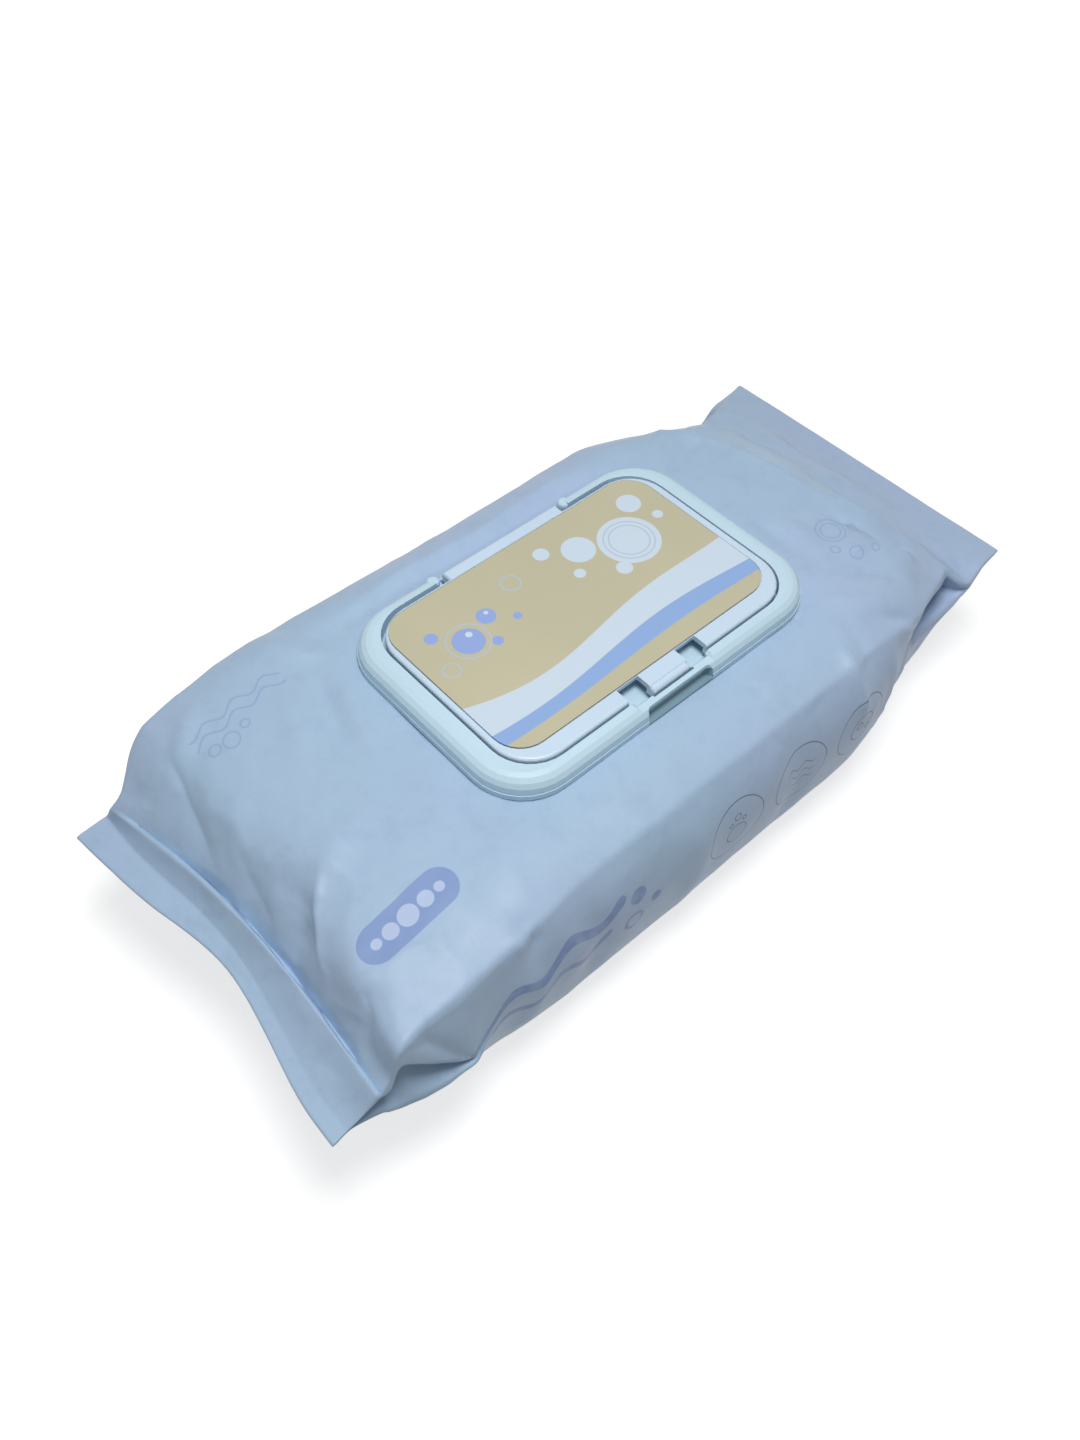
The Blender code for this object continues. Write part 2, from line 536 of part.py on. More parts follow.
def build_lid(collection, material):
    """The flip-top lid: a shallow shell with a label recess, tongue, notches, hinge leaf and sealing ring."""
    x = LID_CENTRE[0]
    low = (x - LID_LENGTH / 2, LID_FRONT, LID_LOW)
    high = (x + LID_LENGTH / 2, LID_BACK, LID_TOP)
    lid = object_from(rounded_block(low, high, LID_CORNER, LID_EDGE_ROUND), "lid", collection, material)
    join(lid, rounded_block((x - HINGE_WIDTH / 2, LID_BACK - 2 * LID_WALL, HINGE_Z),
                            (x + HINGE_WIDTH / 2, HINGE_Y - HINGE_SPLIT, PLATE_TOP), 0, LID_EDGE_ROUND), "hinge_leaf")
    join(lid, rounded_block((x - TONGUE_WIDTH / 2, LID_FRONT - TONGUE_REACH, LID_LOW),
                            (x + TONGUE_WIDTH / 2, LID_FRONT + 2 * LID_WALL, PLATE_TOP), 0, LID_EDGE_ROUND), "tongue")
    hollow_lid(lid)
    label_centre = (LID_CENTRE[0] + LABEL_OFFSET[0], LID_CENTRE[1] + LABEL_OFFSET[1])
    cut(lid, block_about(label_centre, LABEL_LENGTH + 2 * CLEARANCE, LABEL_DEPTH + 2 * CLEARANCE, PLATE_TOP,
                         LID_TOP + CUT_MARGIN, LABEL_CORNER + CLEARANCE), "label_recess")
    for side in (-1, 1):
        centre_x = x + side * (TONGUE_WIDTH + NOTCH_WIDTH) / 2
        cut(lid, rounded_block((centre_x - NOTCH_WIDTH / 2, LID_FRONT - TONGUE_REACH - CUT_MARGIN, LID_LOW - CUT_MARGIN),
                               (centre_x + NOTCH_WIDTH / 2, LID_FRONT + NOTCH_DEPTH, LID_TOP + CUT_MARGIN), 0), "notch")
    add_sealing_ring(lid)
    return lid


def hollow_lid(lid):
    """Hollows the lid from below, with its hinge leaf and tongue."""
    x = LID_CENTRE[0]
    hollows = (
        ((x - LID_LENGTH / 2 + LID_WALL, LID_FRONT + LID_WALL), (x + LID_LENGTH / 2 - LID_WALL, LID_BACK - LID_WALL),
         LID_CORNER - LID_WALL),
        ((x - HINGE_WIDTH / 2 + LID_WALL, LID_BACK - 2 * LID_WALL),
         (x + HINGE_WIDTH / 2 - LID_WALL, HINGE_Y - HINGE_SPLIT - HINGE_WALL), 0),
        ((x - TONGUE_WIDTH / 2 + LID_WALL, LID_FRONT - TONGUE_REACH + LID_WALL),
         (x + TONGUE_WIDTH / 2 - LID_WALL, LID_FRONT + 2 * LID_WALL), 0),
    )
    for low, high, corner in hollows:
        cut(lid, rounded_block((*low, HINGE_Z - CUT_MARGIN), (*high, PLATE_LOW), corner), "lid_hollow")


def add_sealing_ring(lid):
    """The ring under the lid that fits round the opening's collar."""
    inner = COLLAR_WALL + SEALING_RING_GAP
    outer = inner + SEALING_RING_WALL
    low = PLATE_LOW - SEALING_RING_LENGTH
    ring = cutter(block_about(LID_CENTRE, OPENING_LENGTH + 2 * outer, OPENING_DEPTH + 2 * outer, low,
                              PLATE_LOW + CLEARANCE, OPENING_CORNER + outer), "sealing_ring")
    cut(ring, block_about(LID_CENTRE, OPENING_LENGTH + 2 * inner, OPENING_DEPTH + 2 * inner, low - CUT_MARGIN,
                          PLATE_TOP + CUT_MARGIN, OPENING_CORNER + inner), "sealing_ring_inside")
    combine(lid, ring, "UNION")


def build_label(collection, material):
    centre = (LID_CENTRE[0] + LABEL_OFFSET[0], LID_CENTRE[1] + LABEL_OFFSET[1])
    low = PLATE_TOP + CLEARANCE
    label = block_about(centre, LABEL_LENGTH, LABEL_DEPTH, low, low + LABEL_THICKNESS, LABEL_CORNER)
    return object_from(label, "lid_label", collection, material)


def hang_on_hinge(pieces, collection):
    """Parents the pieces that swing to an empty on the hinge line, where they already lie."""
    hinge = bpy.data.objects.new("lid_hinge", None)
    hinge.location = (LID_CENTRE[0], HINGE_Y, HINGE_Z)
    collection.objects.link(hinge)
    bpy.context.view_layer.update()
    for piece in pieces:
        piece.parent = hinge
        piece.matrix_parent_inverse = hinge.matrix_world.inverted()


def main():
    clear_scene()
    pack = collection_named("wet_wipes_pack")
    collection_named("cutters")
    film = plastic("film", (0.43, 0.56, 0.74), 0.45)
    base_plastic = plastic("base_plastic", (0.47, 0.65, 0.78), 0.35)
    lid_plastic = plastic("lid_plastic", (0.62, 0.73, 0.85), 0.35)
    label_film = plastic("label_film", (0.6, 0.53, 0.33), 0.4)
    glue = plastic("glue", (0.8, 0.78, 0.7), 0.6)
    peel_film = plastic("peel_film", (0.75, 0.82, 0.88), 0.4)
    build_pouch(pack, film)
    build_glue(pack, glue)
    build_base(pack, base_plastic)
    build_peel_seal(pack, peel_film)
    hang_on_hinge([build_lid(pack, lid_plastic), build_label(pack, label_film)], pack)


main()
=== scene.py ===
"""Looks of the wet wipes pack: printed film pouch, moulded dispenser, label, hinge web, floor, light and camera.

Metres, +Z up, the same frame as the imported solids.
"""

import json
import math

import bmesh
import bpy
import numpy as np
from mathutils import Matrix, Vector, noise

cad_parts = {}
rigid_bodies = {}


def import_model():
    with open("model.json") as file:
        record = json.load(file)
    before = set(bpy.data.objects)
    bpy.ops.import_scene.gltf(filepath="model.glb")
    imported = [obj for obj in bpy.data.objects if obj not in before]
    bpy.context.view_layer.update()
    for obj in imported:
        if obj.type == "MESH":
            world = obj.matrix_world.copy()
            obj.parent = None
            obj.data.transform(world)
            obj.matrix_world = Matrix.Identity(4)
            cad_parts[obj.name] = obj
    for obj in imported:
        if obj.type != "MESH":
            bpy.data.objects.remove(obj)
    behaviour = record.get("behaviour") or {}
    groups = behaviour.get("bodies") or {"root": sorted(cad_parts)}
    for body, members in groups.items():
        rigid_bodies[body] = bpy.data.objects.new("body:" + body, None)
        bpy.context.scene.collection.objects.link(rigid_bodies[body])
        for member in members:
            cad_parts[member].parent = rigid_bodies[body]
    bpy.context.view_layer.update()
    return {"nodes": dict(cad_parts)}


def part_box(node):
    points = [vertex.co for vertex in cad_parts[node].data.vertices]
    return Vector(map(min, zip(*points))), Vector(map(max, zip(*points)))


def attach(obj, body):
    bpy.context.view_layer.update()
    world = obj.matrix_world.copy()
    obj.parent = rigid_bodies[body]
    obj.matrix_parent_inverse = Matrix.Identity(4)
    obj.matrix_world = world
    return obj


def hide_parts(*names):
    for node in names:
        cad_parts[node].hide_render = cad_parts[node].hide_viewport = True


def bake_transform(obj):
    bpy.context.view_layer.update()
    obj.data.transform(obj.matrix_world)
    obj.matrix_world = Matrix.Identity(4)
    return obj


MM = 0.001

# Pouch, from the same sizes as its solid
PACK_LENGTH = 245 * MM
TOP_WIDTH = 108 * MM
BODY_WIDTH = 118 * MM
BASE_WIDTH = 97 * MM
PAD_HEIGHT = 55 * MM
TOP_EDGE_DROP = 3.5 * MM
BULGE_HEIGHT = 30 * MM
BACK_RIDGE = 0.9 * MM
UNDERSIDE_ROUND = 0.8 * MM
SEAL_WIDTH = 100.5 * MM
SEAL_DEPTH = 6 * MM
SEAL_THICKNESS = 1.0 * MM
LEFT_SEAL_HEIGHT = 34.5 * MM
RIGHT_SEAL_HEIGHT = 37 * MM
LEFT_SEAL_SKEW = 6.5 * MM
RIGHT_SEAL_SKEW = 5 * MM
SKEW_START = 45 * MM
TUCK_DEPTH = 14 * MM

# The rails below give a share or a distance at each inset, which is the distance from the seal's edge in this unit
INSET_UNIT = 1 * MM

# How far the left end is drawn in, against Y, along its edge, its seal's inner line, its ridge and its shoulder
LEFT_BOWS = (
    (1, ((-56, 0.5), (-44, 0.8), (-27, 4.2), (-7, 8), (14, 2), (43, -1.5))),
    (6, ((-56, -1.4), (-40, -1.0), (-25, 2.2), (-10, 5.3), (8, 4.6), (24, 0.5), (43, 0.8))),
    (12.5, ((-58, 0.4), (-44, 1.4), (-27, 2.6), (-10, 2.7), (7, 2.2), (24, -0.8), (43, -4.4))),
    (27, ((-52, -5.5), (-32, -3.5), (-16, 1), (4, 4), (20, -1.7), (40, -6.3))),
    (46, ((-60, 0), (60, 0))),
)

# Rails of the pouch, from the seal edge inwards. A top or edge share runs from the seal's height to the pad's or top
# edge's height, a lip share from the top edge down to the ear, a foot share from the seal's height down to the
# underside, and a width share is of the half width that it names.
LEFT_TOP = ((0, 0), (6, 0.02), (9, 0.11), (12.5, 0.28), (13.7, 0.12), (16, 0.31), (19, 0.54), (23, 0.74), (27, 0.87),
            (31, 0.94), (36, 0.975), (46, 0.99), (62, 1))
RIGHT_TOP = ((0, 0), (8, 0.05), (13, 0.17), (17, 0.28), (22, 0.43), (28, 0.63), (34, 0.83), (40, 0.91), (48, 0.955),
             (62, 1))
LEFT_FRONT_EDGE = ((6, 0.02), (9, 0.1), (12.5, 0.37), (13.7, 0.33), (19, 0.5), (23, 0.94), (27, 0.98), (31, 1))
LEFT_BACK_EDGE = ((6, 0.02), (9, 0.08), (12.5, 0.22), (15.5, 0.36), (19, 0.4), (23, 0.6), (27, 0.77), (31, 0.93),
                  (36, 1))
RIGHT_FRONT_EDGE = ((8, 0.05), (13, -0.1), (17, -0.2), (20, 0.19), (24, 0.28), (34, 0.47), (48, 0.66), (62, 0.94),
                    (75, 1))
RIGHT_BACK_EDGE = ((8, 0.05), (14, 0.16), (28, 0.34), (48, 0.68), (62, 0.92), (75, 1))
LEFT_FRONT_REACH = ((6, 0.935), (12.5, 0.955), (15.5, 0.96), (23, 0.965), (31, 0.968), (36, 0.98), (46, 1.005),
                    (62, 0.99))
LEFT_BACK_REACH = ((6, 0.925), (12.5, 0.885), (15.5, 0.865), (19, 0.885), (23, 0.94), (27, 0.975), (31, 0.99),
                   (46, 0.995), (62, 1.01))
RIGHT_FRONT_REACH = ((8, 0.93), (13, 0.935), (17, 0.945), (20, 0.81), (24, 0.835), (34, 0.88), (48, 0.94),
                     (62, 0.935), (90, 0.955))
RIGHT_BACK_REACH = ((8, 0.9), (14, 0.84), (28, 0.79), (48, 0.88), (62, 0.95), (75, 0.98), (90, 1))
LEFT_EAR = ((0, 0.839), (6, 0.85), (12.5, 0.88), (19, 0.915), (23, 0.935), (27, 0.955), (31, 0.985), (36, 1.003),
            (38, 1.01), (40, 0.985), (46, 0.97), (62, 1))
RIGHT_FRONT_EAR = ((0, 0.839), (13, 0.857), (24, 0.85), (34, 0.825), (40, 0.83), (48, 0.88), (58, 0.93), (75, 0.985),
                   (90, 1))
RIGHT_BACK_EAR = ((0, 0.839), (14, 0.87), (33, 0.885), (45, 0.88), (58, 0.93), (75, 0.985), (90, 1))
LEFT_LIP = ((6, 0.35), (13.7, 0.3), (19, 0.25), (23, 0.18), (27, 0.35), (31, 0.62), (36, 0.95), (38, 1), (40, 0.7),
            (46, 0.5), (62, 0.27))
RIGHT_LIP = ((8, 0.35), (17, 0.3), (20, 0.15), (28, 0.2), (48, 0.28), (62, 0.27))
LEFT_TUCK = ((6, 0), (9, 0.3), (12.5, 0.75), (19, 0.6), (31, 0.5), (36, 0.3), (38, 0.05), (40, 0))
RIGHT_TUCK = ((8, 0), (17, 0), (20, 1), (34, 0.85), (40, 0.45), (48, 0))
LEFT_TUCK_DROP = ((6, 0.5), (12.5, 0.45), (19, 0.2), (36, 0.22), (46, 0.4), (62, 0.45))
RIGHT_TUCK_DROP = ((8, 0.5), (17, 0.5), (20, 1.35), (34, 1.2), (40, 0.9), (48, 0.5), (62, 0.45))
FOOT_DROP = ((6, 0), (12.5, 0.25), (19, 0.58), (27, 0.88), (31, 0.97), (36, 1))
BASE_DROP = ((6, 0), (12.5, 0.28), (19, 0.64), (27, 0.93), (31, 0.99), (36, 1))
LEFT_FOOT = ((6, 0.75), (19, 0.86), (31, 0.93), (46, 0.98), (62, 1))
RIGHT_FOOT = ((8, 0.74), (20, 0.84), (33, 0.88), (48, 0.92), (62, 0.97), (75, 1))
LEFT_FLANK = ((6, 0.5), (19, 0.35), (31, 0.25), (36, 0.3), (46, 0.7), (62, 0.82))
RIGHT_FLANK = ((8, 0.5), (36, 0.82))
LEFT_STATIONS = (0, 1, 6, 9, 12.5, 13.7, 16, 19, 23, 27, 31, 36, 38, 40, 46, 62)
RIGHT_STATIONS = (0, 1, 8, 13, 17, 20, 24, 28, 34, 40, 48, 62)
MIDDLE_STATIONS = 12

# The points of half a ring in their order, from the middle of the top panel down to the middle of the underside
RING_POINTS = ("top middle", "inner top", "outer top", "shoulder", "top edge", "lip", "tuck", "ear", "flank", "foot",
               "inner underside", "underside middle")
# How sharp the cage's lengthways folds are against the inset, by the point that each runs along
LEFT_CREASES = {
    "top edge": ((6, 0.5), (19, 0.95), (46, 0.85), (62, 0.6)),
    "lip": ((12.5, 0), (19, 0.9), (38, 0.9), (46, 0)),
    "tuck": ((9, 0.6), (31, 0.7), (40, 0)),
    "ear": ((6, 0.9), (38, 0.9), (46, 0)),
}
RIGHT_CREASES = {
    "top edge": ((8, 0.8), (17, 1), (40, 0.85), (62, 0.6)),
    "lip": ((13, 0), (17, 0.8), (40, 0.5), (48, 0)),
    "tuck": ((8, 0.6), (34, 0.7), (48, 0)),
    "ear": ((8, 0.9), (34, 0.9), (48, 0)),
}
# How sharp the folds across the top are, by inset: the left seal's inner line, the ridge behind it and its valley
LEFT_CROSS_CREASES = {6: 0.8, 12.5: 1, 13.7: 0.6}

TOP_COLUMNS = ((0, 0), (0.41, 0), (0.73, 0), (0.87, 0.27), (1, 1))
END_TOP_DROPS = (0, 0.1, 0.45, 0.8, 1)
# Length of film from the middle of the top to each ring position, for the print
FILM_ARC = (0, 22, 39.5, 47, 54, 60, 66, 75, 96, 106, 128, 152)
FILM_LEVELS = 3

# Part of the top panel, in mm of film from its middle, whose wide cells are split, and the widest cell left there
SPLIT_ARC = 41
WIDEST_CELL = 1.3

# Folds in the film, over print coordinates in mm: points, height outward, width, and whether its line is sharp
FOLDS = (
    # Pinch and the creases that run from it down the left end
    (((-90, -10), (-93, -12.5), (-97, -16), (-101, -22), (-103, -27)), 1.7, 2.2, True),
    (((-97, -2), (-98, -8), (-99.5, -15)), -1.0, 3.2, False),
    (((-104, -12), (-101, -18), (-99, -26)), -0.9, 3.0, False),
    (((-91, -12), (-86, -9), (-80, -8)), 0.8, 4.0, False),
    (((-95, -28), (-98, -34), (-99, -42)), 0.5, 3.2, False),
    (((-100, -38), (-102, -42), (-105, -45)), -0.6, 2.0, True),
    (((-99, 14), (-102, 5), (-104, -8)), -0.9, 3.6, True),
    (((-94, 22), (-98, 14), (-102, 8)), 0.6, 3.6, False),
    (((-98, 42), (-102, 30), (-105, 18)), -1.2, 2.8, True),
    (((-88, 46), (-93, 41), (-99, 37)), 0.8, 3.0, False),
    # Strip between the left seal and its ridge
    (((-117, -30), (-114, -38), (-112, -46)), -0.7, 2.0, True),
    (((-116, 18), (-113, 10), (-112, 4)), 0.5, 2.4, False),
    # Soft wrinkles left of the dispenser
    (((-60, 33), (-63, 22), (-67, 10)), -1.1, 2.8, True),
    (((-56, 27), (-59.5, 17), (-62, 4)), 0.9, 2.4, False),
    (((-66, 36), (-72, 22), (-78, 12)), 0.8, 3.8, False),
    (((-58, -14), (-66, -20), (-76, -22)), 0.5, 5.0, False),
    # Right end: long step across the film, light facet with its shadow side, dent beside the dispenser
    (((70, 48), (76, 40), (81, 27), (83.5, 12), (84.5, 2), (85, -4)), 1.6, 2.8, True),
    (((85, -5), (88, -15), (93, -27), (97, -36), (101, -44)), 2.3, 3.2, True),
    (((80, -13), (85, -24), (90, -36)), -1.9, 2.6, True),
    (((84, -30), (90, -36), (95, -42)), -1.9, 2.4, True),
    (((79, -33), (85, -38), (90, -45)), 1.8, 2.2, True),
    (((62, -2), (63.5, -11), (62.5, -22)), -1.1, 2.6, True),
    (((67, -3), (69, -13), (68, -25)), 0.5, 2.6, False),
    (((72, -30), (78, -29), (84, -33)), 1.3, 2.2, True),
    (((66, -34), (73, -38), (80, -46)), -1.3, 2.6, True),
    (((97, 44), (100, 25), (98, 8)), -1.4, 3.6, True),
    (((105, 38), (104, 20), (107, 2), (105, -20)), 0.9, 3.4, False),
    (((76, 44), (86, 40), (98, 41)), 1.1, 2.6, True),
    (((93, 6), (98, -6), (101, -20)), -1.2, 3.6, False),
    (((110, 30), (107, 12), (109, -8)), -0.6, 2.4, True),
    # Puckers where the film is drawn in round the dispenser
    (((-44, 44), (-20, 46), (5, 44), (30, 46), (52, 42)), 1.1, 3.0, True),
    (((-50, 40), (-30, 41.5), (0, 40.5), (30, 41), (55, 38)), -1.1, 2.4, False),
    (((56, 32), (63, 40), (72, 48)), 1.2, 2.4, True),
    (((60, 28), (68, 34), (77, 36)), -0.9, 2.4, False),
    (((-54, 35), (-60, 42), (-66, 50)), 1.2, 2.6, True),
    (((-50, 38), (-53, 45), (-58, 53)), -0.9, 2.6, False),
    (((-53, -32), (-60, -40), (-63, -50)), 0.5, 3.4, False),
    (((54, -34), (60, -41), (68, -47)), 0.9, 2.4, True),
    (((20, -38), (22, -44), (20, -50)), 0.4, 3.0, False),
    # Long top edge on the front side, with its small kinks
    (((-66, -49), (-64, -54), (-66, -60)), -1.1, 1.6, True),
    (((-70, -52), (-67, -57)), 0.9, 1.5, True),
    (((-100, -56), (-96, -56.5), (-91, -59), (-85, -62)), -1.2, 1.3, True),
    (((46, -48), (44, -56), (46, -68)), 1.9, 2.4, True),
    (((51, -48), (50, -58)), -0.9, 1.8, True),
    (((58, -45), (64, -50), (74, -54)), -1.6, 2.0, True),
    (((66, -52), (72, -58), (75, -66)), 0.9, 2.0, True),
    (((-30, -50), (-26, -55), (-28, -62)), 0.5, 2.4, False),
    # Soft standing folds on both long sides
    (((-72, -58), (-66, -72), (-70, -92)), 1.1, 3.6, False),
    (((-52, -57), (-48, -72), (-50, -90)), -0.9, 4.6, False),
    (((-18, -56), (-14, -70), (-18, -92)), 0.8, 5.0, False),
    (((18, -56), (22, -74), (18, -92)), -0.8, 4.6, False),
    (((60, -54), (62, -70), (58, -88)), 1.1, 3.0, True),
    (((72, -54), (76, -68), (70, -86)), -1.2, 3.0, False),
    (((-70, 58), (-64, 76), (-68, 96)), 1.2, 3.6, True),
    (((-40, 58), (-44, 74), (-40, 92)), -1.0, 4.6, False),
    (((-8, 57), (-2, 78), (-8, 96)), 0.9, 5.0, False),
    (((28, 58), (22, 76), (26, 94)), -1.0, 4.6, False),
    (((60, 56), (66, 74), (60, 92)), 1.3, 3.6, True),
    (((84, 52), (78, 66), (80, 84)), -1.2, 3.0, True),
)
DENTS = (
    # Print coordinates, radius and depth in mm
    (-99, -16, 8, 1.3),
    (-102, -42, 5, 0.9),
    (63, -12, 6, 0.4),
    (0, 50, 30, 0.6),
    (97, -34, 6, 1.2),
    (-60, 0, 14, 0.4),
)
# Crumple of the film: three noises by scale, shift, height in mm and whether it is ridged
CRUMPLE = (
    (38, (0, 0, 0), 0.4, False),
    (62, (7, 3, 1), 0.34, True),
    (150, (2, 9, 4), 0.1, True),
)
# The crumple's share in the middle of the pack, what the ends have more, and where that starts and how far it grows
CRUMPLE_SHARE = 0.55
CRUMPLE_END_SHARE = 0.75
CRUMPLE_MIDDLE = -8
CRUMPLE_START = 60
CRUMPLE_GROWTH = 30
# The film is nearly flat in the seals, calmer underneath, and isn't lifted under the dispenser
CALM_INSETS = (6, 8)
CALM_SHARE = 0.15
UNDERSIDE_ARC = 112
UNDERSIDE_SHARE = 0.3
DISPENSER_CENTRE = (1.5, 1.5)
DISPENSER_REACH = (50, 31)
DISPENSER_ARC = 60

# Camera, found from the label's corners and the straight edges of the dispenser
CAMERA_PLACE = (-150.5 * MM, -146.4 * MM, 288.1 * MM)
CAMERA_AZIMUTH = -42.96
CAMERA_ELEVATION = 52.26
CAMERA_ROLL = 1.36
CAMERA_LENS = 31.0
CAMERA_SENSOR = 36

# Light: brightness of the world around the pack, and the one lamp over it
AMBIENT = 0.22
KEY_PLACE = (-0.04, -0.065, 0.49)
KEY_TARGET = (0, 0, 0.03)
KEY_SIZE = 0.2
KEY_POWER = 1.52
# Floor: half its side, its grey, its white near the pack, and where that grows to full white
FLOOR_REACH = 4.0
FLOOR_GREY = 0.5
FLOOR_NEAR_WHITE = 0.7
FLOOR_FADE = (0.13, 0.4)
# Rays that see the floor and the world as white
BACKGROUND_RAYS = ("Is Camera Ray", "Is Glossy Ray", "Is Transmission Ray")

# Web across the hinge: its ends along X, its thickness, and its path in Y and Z from the lid's leaf to the base's wall
WEB_ENDS = (-17.9 * MM, 20.9 * MM)
WEB_THICKNESS = 0.3 * MM
WEB_PATH = ((33.6, 58.1), (33.9, 58.05), (34.1, 57.95), (34.3, 57.85), (34.5, 57.75), (34.8, 57.65))
# Box of the finger scoop under the latch bar, where the base gets painted shade: middle and half width along X, its
# back in Y and the bar's underside in Z
SCOOP = (1.5 * MM, 10.9 * MM, -30.5 * MM, 58.9 * MM)
# Fin seam on the underside: where it rises and falls, in mm of film, and the waves of its ribs in each metre
SEAM_EDGES = (131.5, 132.3, 143.7, 144.5)
SEAM_RIBS = 3900.0

# Colours of the film and its print
FILM_COOL = (0.385, 0.535, 0.70)
FILM_WARM = (0.405, 0.525, 0.72)
FILM_DEEP = (0.36, 0.485, 0.66)
PILL_BLUE = (0.235, 0.345, 0.605)
PILL_DOT = (0.56, 0.66, 0.86)
FAINT_BLUE = (0.27, 0.34, 0.60)
WAVE_BLUE = (0.15, 0.235, 0.50)
LINE_DARK = (0.06, 0.09, 0.16)
# Colours of the label
SAND_DEEP = (0.51, 0.485, 0.335)
SAND_LIGHT = (0.55, 0.515, 0.355)
LABEL_WHITE = (0.60, 0.71, 0.82)
LABEL_BLUE = (0.27, 0.42, 0.73)
BUBBLE_BLUE = (0.29, 0.40, 0.74)
RING_BLUE = (0.45, 0.545, 0.68)
GLINT = (0.62, 0.72, 0.88)
# Colours of the plastic pieces
BASE_CYAN = (0.56, 0.75, 0.87)
LID_WHITE = (0.60, 0.75, 0.90)
GLUE_MILK = (0.8, 0.78, 0.7)
PEEL_WHITE = (0.75, 0.82, 0.88)
SCUFF_WHITE = (0.8, 0.86, 0.9)
# Painted shade: dark teal laid on the finger scoop where the latch bar's shadow falls
SCOOP_PAINTED_SHADE = (0.2, 0.32, 0.39)


def along(rail, inset):
    for (near, low), (far, high) in zip(rail, rail[1:]):
        if inset < near:
            return low
        if inset <= far:
            return low + (high - low) * (inset - near) / (far - near)
    return rail[-1][1]


def mix(low, high, share):
    return low + (high - low) * share


def seal_bow(inset, y):
    """How far the left end is drawn in at this Y: most at its kink, and gone at the body."""
    rail = [(at, along(bow, y / INSET_UNIT)) for at, bow in LEFT_BOWS]
    return along(rail, inset) * INSET_UNIT


def half_section(left, back, inset):
    """(y, z) down one side of the pouch, from the middle of the top panel to the middle of the underside."""
    seal_z = LEFT_SEAL_HEIGHT if left else RIGHT_SEAL_HEIGHT
    top_rail = LEFT_TOP if left else RIGHT_TOP
    if left:
        edge_rail, reach_rail = (LEFT_BACK_EDGE, LEFT_BACK_REACH) if back else (LEFT_FRONT_EDGE, LEFT_FRONT_REACH)
    else:
        edge_rail, reach_rail = (RIGHT_BACK_EDGE, RIGHT_BACK_REACH) if back else (RIGHT_FRONT_EDGE, RIGHT_FRONT_REACH)
    lift = SEAL_THICKNESS / 2
    top_z = mix(seal_z + lift, PAD_HEIGHT, along(top_rail, inset))
    edge_z = mix(seal_z + lift, PAD_HEIGHT - TOP_EDGE_DROP, along(edge_rail, inset))
    edge_y = along(reach_rail, inset) * TOP_WIDTH / 2
    points = []
    for (reach, drop), end_drop in zip(TOP_COLUMNS, END_TOP_DROPS):
        share = mix(end_drop, drop, along(((25, 0), (46, 1)), inset))
        points.append([reach * edge_y, mix(top_z, edge_z, share)])
    if back:
        points[3][1] += (TOP_EDGE_DROP * TOP_COLUMNS[3][1] + BACK_RIDGE) * along(((31, 0), (62, 1)), inset)

    right_ear = RIGHT_BACK_EAR if back else RIGHT_FRONT_EAR
    ear_y = along(LEFT_EAR if left else right_ear, inset) * BODY_WIDTH / 2
    ear_z = mix(seal_z - lift, BULGE_HEIGHT, along(((SEAL_DEPTH / INSET_UNIT, 0), (19, 0.9), (36, 1)), inset))
    tuck = along(LEFT_TUCK if left else RIGHT_TUCK, inset)
    tuck_y = mix(mix(edge_y, ear_y, 0.85), min(edge_y, ear_y) - TUCK_DEPTH, tuck)
    lip = along(LEFT_LIP if left else RIGHT_LIP, inset)
    lip_y = mix(edge_y, ear_y, mix(lip, 0.55, along(((36, 0), (62, 1)), inset)))
    lip_z = mix(edge_z, ear_z, lip)
    tuck_z = mix(lip_z, ear_z, along(LEFT_TUCK_DROP if left else RIGHT_TUCK_DROP, inset))
    points += [[lip_y, lip_z], [tuck_y, tuck_z], [ear_y, ear_z]]

    foot_y = along(LEFT_FOOT if left else RIGHT_FOOT, inset) * BASE_WIDTH / 2
    foot_z = mix(seal_z - lift, UNDERSIDE_ROUND, along(FOOT_DROP, inset))
    base_z = mix(seal_z - lift, 0, along(BASE_DROP, inset))
    flank_y = mix(foot_y, ear_y, along(LEFT_FLANK if left and not back else RIGHT_FLANK, inset))
    points += [[flank_y, mix(foot_z, ear_z, 0.28)], [foot_y, foot_z], [foot_y / 2, base_z], [0, base_z]]
    if inset < SEAL_DEPTH / INSET_UNIT:
        flatten_to_seal(points, seal_z)
    return points


def flatten_to_seal(points, seal_z):
    """Makes the section the flat strip where both panels are welded together."""
    last = len(points) - 1
    for index, point in enumerate(points):
        from_edge = min(index, last - index)
        shares = (0, 0.41, 0.73, 0.87, 1, 1)
        point[0] = shares[from_edge] * SEAL_WIDTH / 2
        side = 1 if index <= last / 2 else -1
        point[1] = seal_z + side * SEAL_THICKNESS / (6 if from_edge == 5 else 2)


def pouch_ring(left, inset):
    """One closed ring of cage points, down the front side and up the back."""
    front = half_section(left, False, inset)
    back = half_section(left, True, inset)
    outline = [(-y, z) for y, z in front] + [(y, z) for y, z in back[-2:0:-1]]
    side = -1 if left else 1
    x = side * (PACK_LENGTH / 2 - inset * INSET_UNIT)
    seal_skew = LEFT_SEAL_SKEW if left else RIGHT_SEAL_SKEW
    skew = side * seal_skew * (1 - min(inset * INSET_UNIT / SKEW_START, 1)) ** 0.7
    ring = []
    for y, z in outline:
        bow = seal_bow(inset, y + skew) if left else 0
        ring.append((x + bow, y + skew, z))
    return ring


